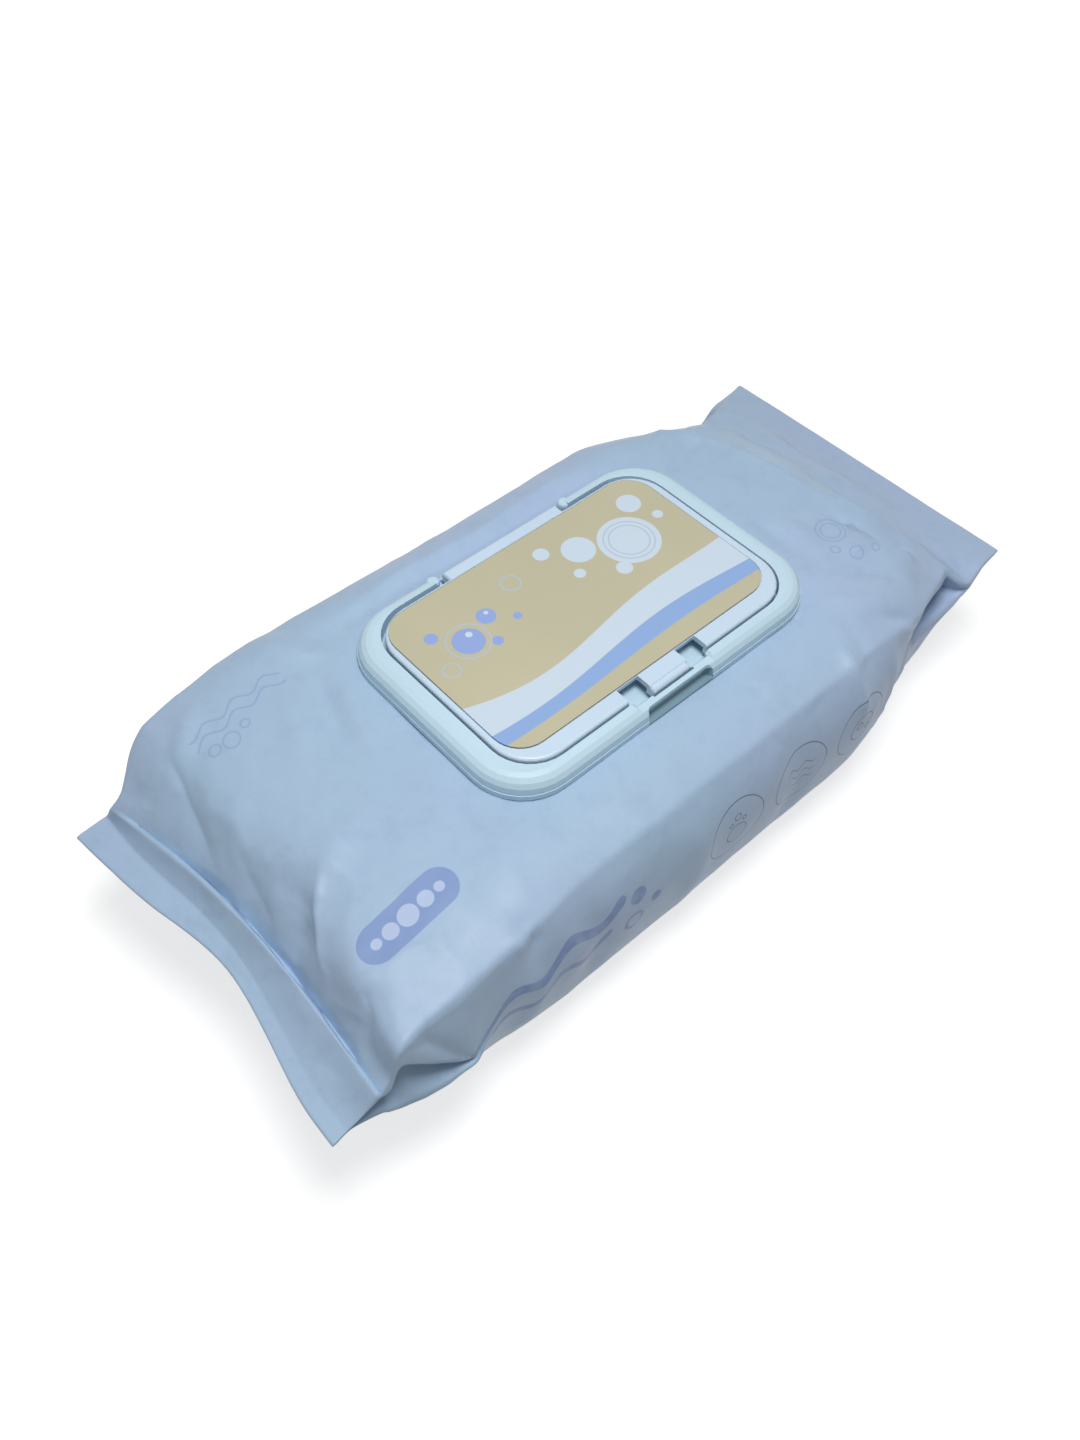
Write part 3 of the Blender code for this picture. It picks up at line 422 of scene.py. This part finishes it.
def crease_cage(bm, stations, rows):
    """Sharpens the folds that run along the pack's edges and tucks, and those across its left end."""
    crease = bm.edges.layers.float.new("crease_edge")
    count = len(rows[0])
    for (left, near_inset), (_, far_inset), near, far in zip(stations, stations[1:], rows, rows[1:]):
        for point, rail in (LEFT_CREASES if left else RIGHT_CREASES).items():
            position = RING_POINTS.index(point)
            for i in (position, count - position):
                bm.edges.get((near[i], far[i]))[crease] = (along(rail, near_inset) + along(rail, far_inset)) / 2
    for (left, inset), row in zip(stations, rows):
        if left and inset in LEFT_CROSS_CREASES:
            edge = RING_POINTS.index("top edge")
            for i in range(-edge, edge):
                bm.edges.get((row[i % count], row[(i + 1) % count]))[crease] = LEFT_CROSS_CREASES[inset]


def film_cage():
    """The pouch's cage as a bmesh with crease weights and, in metres of film, its print coordinates."""
    stations = [(True, inset) for inset in LEFT_STATIONS]
    rings = [pouch_ring(*station) for station in stations]
    middle = (False, PACK_LENGTH / 2 / INSET_UNIT)
    start_x, end_x = rings[-1][0][0], PACK_LENGTH / 2 - RIGHT_STATIONS[-1] * INSET_UNIT
    for step in range(1, MIDDLE_STATIONS + 1):
        x = mix(start_x, end_x, step / (MIDDLE_STATIONS + 1))
        stations.append(middle)
        rings.append([(x, y, z) for _, y, z in pouch_ring(*middle)])
    for inset in reversed(RIGHT_STATIONS):
        stations.append((False, inset))
        rings.append(pouch_ring(False, inset))

    bm = bmesh.new()
    uv = bm.loops.layers.uv.new("film")
    rows = [[bm.verts.new(point) for point in ring] for ring in rings]
    count = len(rows[0])
    half = count // 2

    def arc(position):
        return -FILM_ARC[position] if position <= half else FILM_ARC[count - position]

    for near, far in zip(rows, rows[1:]):
        for i in range(count):
            ahead = (i + 1) % count
            face = bm.faces.new((near[i], near[ahead], far[ahead], far[i]))
            low, high = (arc(i), arc(i + 1)) if i < half else (arc(i) if i > half else FILM_ARC[half], arc(ahead))
            for loop, v in zip(face.loops, (low, high, high, low)):
                loop[uv].uv = (loop.vert.co.x, v * MM)
    for row in (rows[0], rows[-1]):
        for sign in (1, -1):
            for k in range(half // 2):
                face = bm.faces.new([row[sign * i % count] for i in (k, k + 1, half - k - 1, half - k)])
                for loop in face.loops:
                    loop[uv].uv = (loop.vert.co.x, loop.vert.co.y)
    crease_cage(bm, stations, rows)
    bmesh.ops.recalc_face_normals(bm, faces=bm.faces)
    return bm


def distance_to(points, u, v):
    """Distance from every (u, v) to a line of points, and the share of the way along it."""
    best = np.full(u.shape, 1e9)
    share = np.zeros(u.shape)
    steps = [math.dist(a, b) for a, b in zip(points, points[1:])]
    done = 0
    for (a, b), step in zip(zip(points, points[1:]), steps):
        du, dv = b[0] - a[0], b[1] - a[1]
        t = np.clip(((u - a[0]) * du + (v - a[1]) * dv) / step ** 2, 0, 1)
        away = np.hypot(u - a[0] - t * du, v - a[1] - t * dv)
        nearer = away < best
        best = np.where(nearer, away, best)
        share = np.where(nearer, (done + t * step) / sum(steps), share)
        done += step
    return best, share


def fold_film(mesh):
    """Moves the film along its normals for its folds, dents and crumple."""
    count = len(mesh.vertices)
    place = np.empty(count * 3)
    mesh.vertices.foreach_get("co", place)
    place = place.reshape(-1, 3)
    normal = np.empty(count * 3)
    mesh.vertex_normals.foreach_get("vector", normal)
    normal = normal.reshape(-1, 3)
    corner = np.empty(len(mesh.loops), int)
    mesh.loops.foreach_get("vertex_index", corner)
    flat = np.empty(len(mesh.loops) * 2)
    mesh.uv_layers["film"].data.foreach_get("uv", flat)
    film = np.zeros((count, 2))
    film[corner] = flat.reshape(-1, 2) / MM
    u, v = film[:, 0], film[:, 1]
    lift = np.zeros(count)
    for points, height, width, sharp in FOLDS:
        away, share = distance_to(points, u, v)
        profile = np.exp(-away / width) * (1 - np.exp(-(3 * width / (away + 0.01)) ** 2)) if sharp else \
            np.exp(-(away / width) ** 2)
        taper = np.clip(np.minimum(share, 1 - share) / 0.25, 0, 1)
        lift += height * profile * (0.25 + 0.75 * taper)
    for centre_u, centre_v, radius, depth in DENTS:
        lift -= depth * np.exp(-((u - centre_u) ** 2 + (v - centre_v) ** 2) / radius ** 2)
    crumple = np.empty(count)
    for i in range(count):
        spot = Vector(place[i])
        crumple[i] = 0
        for scale, shift, height, ridged in CRUMPLE:
            level = noise.noise(spot * scale + Vector(shift))
            crumple[i] += height * (1 - 2 * abs(level) if ridged else level)
    to_end = np.abs(u - CRUMPLE_MIDDLE) - CRUMPLE_START
    crumple *= CRUMPLE_SHARE + CRUMPLE_END_SHARE * np.clip(to_end / CRUMPLE_GROWTH, 0, 1)
    inset = np.minimum(u + PACK_LENGTH / 2 / MM, PACK_LENGTH / 2 / MM - u)
    calm = np.clip((inset - CALM_INSETS[0]) / CALM_INSETS[1], CALM_SHARE, 1)
    lift = np.where(np.abs(v) > UNDERSIDE_ARC, UNDERSIDE_SHARE, 1) * calm * (lift + crumple)
    hidden = np.abs(v) < DISPENSER_ARC
    for axis in (0, 1):
        hidden &= np.abs(place[:, axis] / MM - DISPENSER_CENTRE[axis]) < DISPENSER_REACH[axis]
    lift = np.where(hidden, np.minimum(lift, 0), lift)
    place += normal * (lift * MM)[:, None]
    place[:, 2] = np.maximum(place[:, 2], 0)
    mesh.vertices.foreach_set("co", place.ravel())
    mesh.update()


def refine_top(mesh):
    """Splits the wide cells of the top panel across, so that its folds come out crisp."""
    bm = bmesh.new()
    bm.from_mesh(mesh)
    uv = bm.loops.layers.uv["film"]
    wide = []
    for edge in bm.edges:
        loop = edge.link_loops[0]
        near, far = loop[uv].uv[1] / MM, loop.link_loop_next[uv].uv[1] / MM
        if max(abs(near), abs(far)) < SPLIT_ARC and abs(near - far) > WIDEST_CELL:
            wide.append(edge)
    bmesh.ops.subdivide_edges(bm, edges=wide, cuts=2, use_grid_fill=True)
    bm.to_mesh(mesh)
    bm.free()


def build_film():
    bm = film_cage()
    mesh = bpy.data.meshes.new("film_cage")
    bm.to_mesh(mesh)
    bm.free()
    cage = bpy.data.objects.new("film_cage", mesh)
    bpy.context.scene.collection.objects.link(cage)
    rounding = cage.modifiers.new("rounding", "SUBSURF")
    rounding.levels = rounding.render_levels = FILM_LEVELS
    bpy.context.view_layer.update()
    graph = bpy.context.evaluated_depsgraph_get()
    fine = bpy.data.meshes.new_from_object(cage.evaluated_get(graph))
    fine.name = "printed_film"
    refine_top(fine)
    fold_film(fine)
    bpy.data.objects.remove(cage, do_unlink=True)
    fine.shade_smooth()
    film = bpy.data.objects.new("printed_film", fine)
    bpy.context.scene.collection.objects.link(film)
    return film


class Graph:
    """Adds nodes to a material, with plain values or other nodes' outputs as their inputs."""

    def __init__(self, name):
        self.material = bpy.data.materials.new(name)
        self.material.use_nodes = True
        self.tree = self.material.node_tree
        self.shader = self.tree.nodes["Principled BSDF"]

    def node(self, kind, values=(), output=0, **settings):
        made = self.tree.nodes.new(kind)
        for key, value in settings.items():
            setattr(made, key, value)
        for key, value in dict(values).items():
            self.put(made.inputs[key], value)
        return made.outputs[output]

    def put(self, socket, value):
        if isinstance(value, bpy.types.NodeSocket):
            self.tree.links.new(value, socket)
        else:
            socket.default_value = value

    def math(self, operation, *values, clamp=False):
        return self.node("ShaderNodeMath", enumerate(values), operation=operation, use_clamp=clamp)

    def colour(self, share, low, high):
        made = self.node("ShaderNodeMix", (), 2, data_type="RGBA", clamp_factor=True).node
        for index, value in ((0, share), (6, low), (7, high)):
            self.put(made.inputs[index], (*value, 1) if isinstance(value, tuple) and len(value) == 3 else value)
        return made.outputs[2]

    def noise(self, coords, scale, detail=2.0, roughness=0.5):
        return self.node("ShaderNodeTexNoise", {"Vector": coords, "Scale": scale, "Detail": detail,
                                                "Roughness": roughness})

    def ramp(self, value, low, high):
        """0 below low and 1 above high, smooth between."""
        return self.node("ShaderNodeMapRange", {0: value, 1: low, 2: high, 3: 0.0, 4: 1.0},
                         interpolation_type="SMOOTHSTEP")

    def inside(self, distance, edge=0.15 * MM):
        """1 where the distance is under 0."""
        return self.math("SUBTRACT", 1.0, self.ramp(distance, -edge, edge))

    def diagonal(self, out, across):
        squares = [self.math("MULTIPLY", side, side) for side in (out, across)]
        return self.math("SQRT", self.math("ADD", *squares))

    def pill(self, u, v, centre, length, width):
        """Signed distance to a bar with round ends along u."""
        across = self.math("SUBTRACT", v, centre[1])
        out = self.math("ABSOLUTE", self.math("SUBTRACT", u, centre[0]))
        out = self.math("MAXIMUM", self.math("SUBTRACT", out, (length - width) / 2), 0.0)
        return self.math("SUBTRACT", self.diagonal(out, across), width / 2)

    def circle(self, u, v, centre, radius):
        across = self.math("SUBTRACT", v, centre[1])
        out = self.math("SUBTRACT", u, centre[0])
        return self.math("SUBTRACT", self.diagonal(out, across), radius)

    def ring(self, u, v, centre, radius, half_width):
        return self.math("SUBTRACT", self.math("ABSOLUTE", self.circle(u, v, centre, radius)), half_width)

    def wave(self, u, v, span, level, height, length, phase, half_width):
        """Signed distance, in metres, to a wavy line at a level over a span of u, all given in mm."""
        swing = self.math("MULTIPLY_ADD", u, 2 * math.pi / (length * MM), phase)
        swing = self.math("MULTIPLY", self.math("SINE", swing), height * MM)
        across = self.math("ABSOLUTE", self.math("SUBTRACT", self.math("SUBTRACT", v, level * MM), swing))
        middle, reach = (span[0] + span[1]) / 2 * MM, (span[1] - span[0]) / 2 * MM
        past = self.math("SUBTRACT", self.math("ABSOLUTE", self.math("SUBTRACT", u, middle)), reach)
        past = self.math("MAXIMUM", past, 0.0)
        return self.math("SUBTRACT", self.diagonal(past, across), half_width * MM)

    def chain(self, operation, values):
        result = values[0]
        for value in values[1:]:
            result = self.math(operation, result, value)
        return result

    def least(self, distances):
        return self.chain("MINIMUM", distances)


def bump(graph, height, strength, distance, normal=None):
    values = {"Strength": strength, "Distance": distance, "Height": height}
    if normal is not None:
        values["Normal"] = normal
    return graph.node("ShaderNodeBump", values)


def film_material():
    """Matte printed film: soft crumple, a light blue ground and plain blue motifs on the top and long sides."""
    g = Graph("printed_film")
    uv = g.node("ShaderNodeUVMap", uv_map="film")
    split = g.node("ShaderNodeSeparateXYZ", {0: uv}).node
    u, v = split.outputs[0], split.outputs[1]
    side = g.math("ABSOLUTE", v)
    place = g.node("ShaderNodeTexCoord", (), 3)

    colour = g.colour(g.ramp(g.noise(place, 14, 2), 0.35, 0.65), FILM_COOL, FILM_WARM)
    colour = g.colour(g.ramp(g.noise(place, 160, 4, 0.7), 0.45, 0.8), colour, FILM_DEEP)

    # A pill with a row of five dots, near the left end
    pill = g.inside(g.pill(u, v, (-83 * MM, -33.5 * MM), 27 * MM, 9.8 * MM))
    colour = g.colour(pill, colour, PILL_BLUE)
    dots = [g.circle(u, v, (x * MM, -33.5 * MM), r * MM) for x, r in
            ((-92.2, 1.3), (-88.2, 2.0), (-83.2, 2.6), (-78.0, 2.0), (-74.0, 1.3))]
    colour = g.colour(g.math("MULTIPLY", g.inside(g.least(dots)), 0.75), colour, PILL_DOT)

    # Faint waves and bubbles at the back left, faint rings at the right
    waves = [g.wave(u, v, (-93, -66), level, 1.1, 9, phase, 0.3) for level, phase in ((39, 0), (36, 1.2))]
    rings = [g.ring(u, v, (x * MM, y * MM), r * MM, 0.25 * MM) for x, y, r in
             ((-90, 32, 1.5), (-85.5, 31, 2.2), (-80.5, 32, 1.2), (76, -19, 4.6), (76, -19, 3.1), (83, -23, 1.8),
              (70.5, -25, 1.4), (74, -30, 2.0), (80, -33, 1.2))]
    faint = g.inside(g.least(waves + rings), 0.25 * MM)
    colour = g.colour(g.math("MULTIPLY", faint, 0.55), colour, FAINT_BLUE)

    # Blue waves and bubbles on the long sides
    broad = g.least([
        g.wave(u, side, (-85, -41), 66.5, 2.0, 17, 0.4, 1.7),
        g.wave(u, side, (-80, -45), 74.5, 2.0, 17, 1.6, 1.2),
        g.circle(u, side, (-35.5 * MM, 67 * MM), 2.5 * MM),
        g.circle(u, side, (-30 * MM, 72 * MM), 1.6 * MM),
        g.ring(u, side, (-37 * MM, 75.5 * MM), 2.6 * MM, 0.5 * MM),
    ])
    worn = g.math("MULTIPLY_ADD", g.ramp(g.noise(place, 300, 3), 0.3, 0.6), 0.3, 0.5)
    colour = g.colour(g.math("MULTIPLY", g.inside(broad, 0.25 * MM), worn), colour, WAVE_BLUE)

    # Thin roundels with rings, ripples and small bubbles on the long sides
    line = 0.16 * MM
    ripples = [g.wave(u, side, (17, 27), level, 0.8, 5, 0, 0.16) for level in (69, 72, 75)]
    rounds = [g.ring(u, side, (x * MM, y * MM), r * MM, line) for x, y, r in
              ((-2, 72, 9.5), (22, 72, 9.5), (46, 72, 9.5), (-2, 73.5, 3.2), (46, 72, 4.4), (44.6, 70.9, 1.1),
               (48.2, 73.2, 0.8), (-2, 67.5, 1.0), (-4.2, 69.2, 0.6), (0.2, 69.2, 0.6))]
    drawn = g.inside(g.least(rounds + ripples), 0.12 * MM)
    colour = g.colour(g.math("MULTIPLY", drawn, 0.85), colour, LINE_DARK)
    g.put(g.shader.inputs["Base Color"], colour)

    rough = g.math("MULTIPLY_ADD", g.noise(place, 70, 3), 0.16, 0.36)
    g.put(g.shader.inputs["Roughness"], rough)
    g.shader.inputs["Specular IOR Level"].default_value = 0.32

    bent = g.math("MULTIPLY_ADD", g.noise(place, 45, 2), 0.012, 0.0)
    moved = g.node("ShaderNodeVectorMath", {0: place, 1: bent}, operation="ADD")
    cells = g.node("ShaderNodeTexVoronoi", {"Vector": moved, "Scale": 75.0}, feature="DISTANCE_TO_EDGE")
    creases = g.math("MULTIPLY", g.ramp(cells, 0.0, 0.22), g.ramp(g.noise(place, 22, 1), 0.4, 0.7))
    crumple = g.math("MULTIPLY_ADD", g.noise(place, 130, 5, 0.62), 0.8, g.math("MULTIPLY", creases, 0.45))
    soft = bump(g, crumple, 0.35, 0.55 * MM)
    # Fin seam on the underside, with its fine ribs
    rise, full, fall, gone = (edge * MM for edge in SEAM_EDGES)
    seam = g.math("SUBTRACT", g.ramp(v, rise, full), g.ramp(v, fall, gone))
    ribs = g.math("MULTIPLY_ADD", g.math("SINE", g.math("MULTIPLY", u, SEAM_RIBS)), 0.12, 1.0)
    g.put(g.shader.inputs["Normal"], bump(g, g.math("MULTIPLY", seam, ribs), 0.6, 0.5 * MM, soft))
    return g.material


def label_material(low, high):
    """Satin printed label: sand ground, white and blue ribbons along the clasp side and plain bubbles."""
    g = Graph("label")
    place = g.node("ShaderNodeTexCoord", (), 3)
    split = g.node("ShaderNodeSeparateXYZ", {0: place}).node
    x = g.math("SUBTRACT", split.outputs[0], (low[0] + high[0]) / 2)
    y = g.math("SUBTRACT", split.outputs[1], (low[1] + high[1]) / 2)

    sand = g.colour(g.ramp(g.noise(place, 25, 2), 0.3, 0.7), SAND_DEEP, SAND_LIGHT)
    swing = g.math("MULTIPLY", g.math("SINE", g.math("MULTIPLY_ADD", x, 72.0, 0.5)), 2.6 * MM)
    rise = g.math("MULTIPLY", g.math("MULTIPLY", x, x), 2.4)
    # Upper edge of the white ribbon, then of the blue one, then of the sand strip at the front
    top = g.math("ADD", g.math("ADD", swing, rise), -10.5 * MM)
    middle = g.math("MULTIPLY_ADD", swing, 0.6, -17.0 * MM)
    bottom = g.math("MULTIPLY_ADD", swing, 0.3, -21.6 * MM)
    colour = g.colour(g.inside(g.math("SUBTRACT", y, top)), sand, LABEL_WHITE)
    colour = g.colour(g.inside(g.math("SUBTRACT", y, middle)), colour, LABEL_BLUE)
    colour = g.colour(g.inside(g.math("SUBTRACT", y, bottom)), colour, sand)

    bubbles = [g.circle(x, y, (a * MM, b * MM), r * MM) for a, b, r in
               ((25, 7.5, 8.5), (12.5, 13.5, 4.6), (34.5, 17.5, 3.4), (17, 1.0, 2.2), (7, 7, 1.6), (37.5, 9.5, 1.5),
                (4.0, 18.5, 2.2))]
    colour = g.colour(g.inside(g.least(bubbles)), colour, LABEL_WHITE)
    blue = [g.circle(x, y, (a * MM, b * MM), r * MM) for a, b, r in
            ((-29, 8, 4.2), (-20.5, 11.5, 2.6), (-35.5, 14.5, 1.8), (-23.5, 3.5, 1.5), (-14.5, 6.5, 1.2))]
    colour = g.colour(g.inside(g.least(blue)), colour, BUBBLE_BLUE)
    rings = [g.ring(x, y, (a * MM, b * MM), r * MM, 0.22 * MM) for a, b, r in
             ((-29, 8, 5.6), (25, 7.5, 6.8), (25, 7.5, 5.4), (-8.5, 16, 2.6), (-38, 3.5, 2.2))]
    colour = g.colour(g.math("MULTIPLY", g.inside(g.least(rings), 0.12 * MM), 0.8), colour, RING_BLUE)
    glints = [g.circle(x, y, (a * MM, b * MM), r * MM) for a, b, r in ((-27.6, 9.6, 0.9), (-19.8, 12.4, 0.6))]
    colour = g.colour(g.inside(g.least(glints)), colour, GLINT)
    g.put(g.shader.inputs["Base Color"], colour)
    g.put(g.shader.inputs["Roughness"], g.math("MULTIPLY_ADD", g.noise(place, 120, 3), 0.12, 0.3))
    g.put(g.shader.inputs["Normal"], bump(g, g.noise(place, 700, 3), 0.08, 0.06 * MM))
    return g.material


def plastic_material(name, colour, roughness, scoop=None):
    """Satin moulded plastic with fine grain, faint flow clouds and a little scuffing, and painted shade in its scoop,
    where the latch bar's shadow falls.
    """
    g = Graph(name)
    place = g.node("ShaderNodeTexCoord", (), 3)
    cloud = g.ramp(g.noise(place, 24, 3), 0.3, 0.7)
    tint = g.colour(cloud, tuple(0.955 * c for c in colour), colour)
    scuff = g.ramp(g.noise(place, 420, 4, 0.7), 0.6, 0.75)
    worn = g.colour(g.math("MULTIPLY", scuff, 0.06), tint, SCUFF_WHITE)
    if scoop:
        # Painted shade: inside the scoop's box under the latch bar the colour turns dark teal, standing in for the
        # bar's shadow
        centre, half_width, back, top = scoop
        split = g.node("ShaderNodeSeparateXYZ", {0: place}).node
        aside = g.math("SUBTRACT", g.math("ABSOLUTE", g.math("SUBTRACT", split.outputs[0], centre)), half_width)
        behind = g.math("SUBTRACT", split.outputs[1], back)
        above = g.math("SUBTRACT", split.outputs[2], top)
        worn = g.colour(g.inside(g.chain("MAXIMUM", (aside, behind, above))), worn, SCOOP_PAINTED_SHADE)
    g.put(g.shader.inputs["Base Color"], worn)
    g.put(g.shader.inputs["Roughness"], g.math("MULTIPLY_ADD", g.noise(place, 250, 2), 0.12, roughness - 0.06))
    grain = bump(g, g.noise(place, 2600, 2), 0.1, 0.04 * MM)
    g.put(g.shader.inputs["Normal"], bump(g, g.noise(place, 60, 2), 0.1, 0.2 * MM, grain))
    return g.material


def dress(obj, material):
    obj.data.materials.clear()
    obj.data.materials.append(material)


def smooth(obj, degrees=32):
    obj.data.shade_smooth()
    obj.data.set_sharp_from_angle(angle=math.radians(degrees))


def hinge_web():
    """The thin strip that joins the lid's leaf to the base's wall across the hinge line."""
    bm = bmesh.new()
    rows = []
    for y, z in WEB_PATH:
        rows.append([bm.verts.new((x, y * MM, z * MM + lift)) for lift in (0, WEB_THICKNESS) for x in WEB_ENDS])
    for near, far in zip(rows, rows[1:]):
        for a, b in ((0, 1), (1, 3), (3, 2), (2, 0)):
            bm.faces.new((near[a], near[b], far[b], far[a]))
    for row in (rows[0], rows[-1]):
        bm.faces.new((row[0], row[1], row[3], row[2]))
    bmesh.ops.recalc_face_normals(bm, faces=bm.faces)
    mesh = bpy.data.meshes.new("hinge_web")
    bm.to_mesh(mesh)
    bm.free()
    web = bpy.data.objects.new("hinge_web", mesh)
    bpy.context.scene.collection.objects.link(web)
    return web


def add_floor():
    bm = bmesh.new()
    bmesh.ops.create_grid(bm, x_segments=1, y_segments=1, size=FLOOR_REACH)
    mesh = bpy.data.meshes.new("floor")
    bm.to_mesh(mesh)
    bm.free()
    floor = bpy.data.objects.new("floor", mesh)
    bpy.context.scene.collection.objects.link(floor)
    g = Graph("floor")
    rays = g.node("ShaderNodeLightPath").node
    g.shader.inputs["Base Color"].default_value = (FLOOR_GREY, FLOOR_GREY, FLOOR_GREY, 1)
    g.shader.inputs["Roughness"].default_value = 0.9
    seen = g.chain("MAXIMUM", [rays.outputs[kind] for kind in BACKGROUND_RAYS])
    place = g.node("ShaderNodeTexCoord", (), 3)
    away = g.node("ShaderNodeVectorMath", {0: place}, "Value", operation="LENGTH")
    level = g.math("MULTIPLY_ADD", g.ramp(away, *FLOOR_FADE), 1 - FLOOR_NEAR_WHITE, FLOOR_NEAR_WHITE)
    white = g.node("ShaderNodeEmission", {"Color": (1, 1, 1, 1), "Strength": g.math("MULTIPLY", seen, level)})
    both = g.node("ShaderNodeAddShader", {0: g.shader.outputs[0], 1: white})
    g.put(g.tree.nodes["Material Output"].inputs[0], both)
    dress(floor, g.material)


def add_world():
    world = bpy.data.worlds.new("studio")
    bpy.context.scene.world = world
    world.use_nodes = True
    nodes, links = world.node_tree.nodes, world.node_tree.links
    background = nodes["Background"]
    background.inputs[0].default_value = (1, 1, 1, 1)
    background.inputs[1].default_value = AMBIENT
    white = nodes.new("ShaderNodeBackground")
    white.inputs[0].default_value = (1, 1, 1, 1)
    rays = nodes.new("ShaderNodeLightPath")
    mixed = nodes.new("ShaderNodeMixShader")
    factor = rays.outputs[BACKGROUND_RAYS[0]]
    for kind in BACKGROUND_RAYS[1:]:
        either = nodes.new("ShaderNodeMath")
        either.operation = "MAXIMUM"
        links.new(factor, either.inputs[0])
        links.new(rays.outputs[kind], either.inputs[1])
        factor = either.outputs[0]
    links.new(factor, mixed.inputs[0])
    links.new(background.outputs[0], mixed.inputs[1])
    links.new(white.outputs[0], mixed.inputs[2])
    links.new(mixed.outputs[0], nodes["World Output"].inputs[0])


def add_lamp(name, place, target, size, power):
    data = bpy.data.lights.new(name, "AREA")
    data.shape = "DISK"
    data.size = size
    data.energy = power
    lamp = bpy.data.objects.new(name, data)
    lamp.location = place
    lamp.rotation_euler = (Vector(target) - Vector(place)).to_track_quat("-Z", "Y").to_euler()
    bpy.context.scene.collection.objects.link(lamp)


def add_camera():
    azimuth, elevation, roll = (math.radians(a) for a in (CAMERA_AZIMUTH, CAMERA_ELEVATION, CAMERA_ROLL))
    back = Vector((math.sin(azimuth) * math.cos(elevation), -math.cos(azimuth) * math.cos(elevation),
                   math.sin(elevation)))
    right = Vector((math.cos(azimuth), math.sin(azimuth), 0))
    up = back.cross(right)
    turned = right * math.cos(roll) + up * math.sin(roll)
    upward = up * math.cos(roll) - right * math.sin(roll)
    data = bpy.data.cameras.new("camera")
    data.lens = CAMERA_LENS
    data.sensor_width = CAMERA_SENSOR
    camera = bpy.data.objects.new("camera", data)
    camera.matrix_world = Matrix.Translation(CAMERA_PLACE) @ Matrix((turned, upward, back)).transposed().to_4x4()
    bpy.context.scene.collection.objects.link(camera)
    bpy.context.scene.camera = camera


for startup in list(bpy.data.objects):
    bpy.data.objects.remove(startup, do_unlink=True)
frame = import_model()
add_camera()

film = build_film()
dress(film, film_material())
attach(film, "pack")
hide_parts("film_pouch")

# The base's finger scoop gets painted shade under the latch bar
base_look = plastic_material("base_plastic", BASE_CYAN, 0.38, SCOOP)
lid_look = plastic_material("lid_plastic", LID_WHITE, 0.36)
for name, look in (("lid_base", base_look), ("lid", lid_look)):
    dress(frame["nodes"][name], look)
    smooth(frame["nodes"][name])
dress(frame["nodes"]["glue_ring"], plastic_material("glue", GLUE_MILK, 0.5))
dress(frame["nodes"]["peel_seal"], plastic_material("peel_film", PEEL_WHITE, 0.3))
dress(frame["nodes"]["lid_label"], label_material(*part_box("lid_label")))

web = hinge_web()
dress(web, lid_look)
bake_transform(web)

add_floor()
add_world()
add_lamp("key", KEY_PLACE, KEY_TARGET, KEY_SIZE, KEY_POWER)
bpy.context.scene.view_settings.view_transform = "Standard"
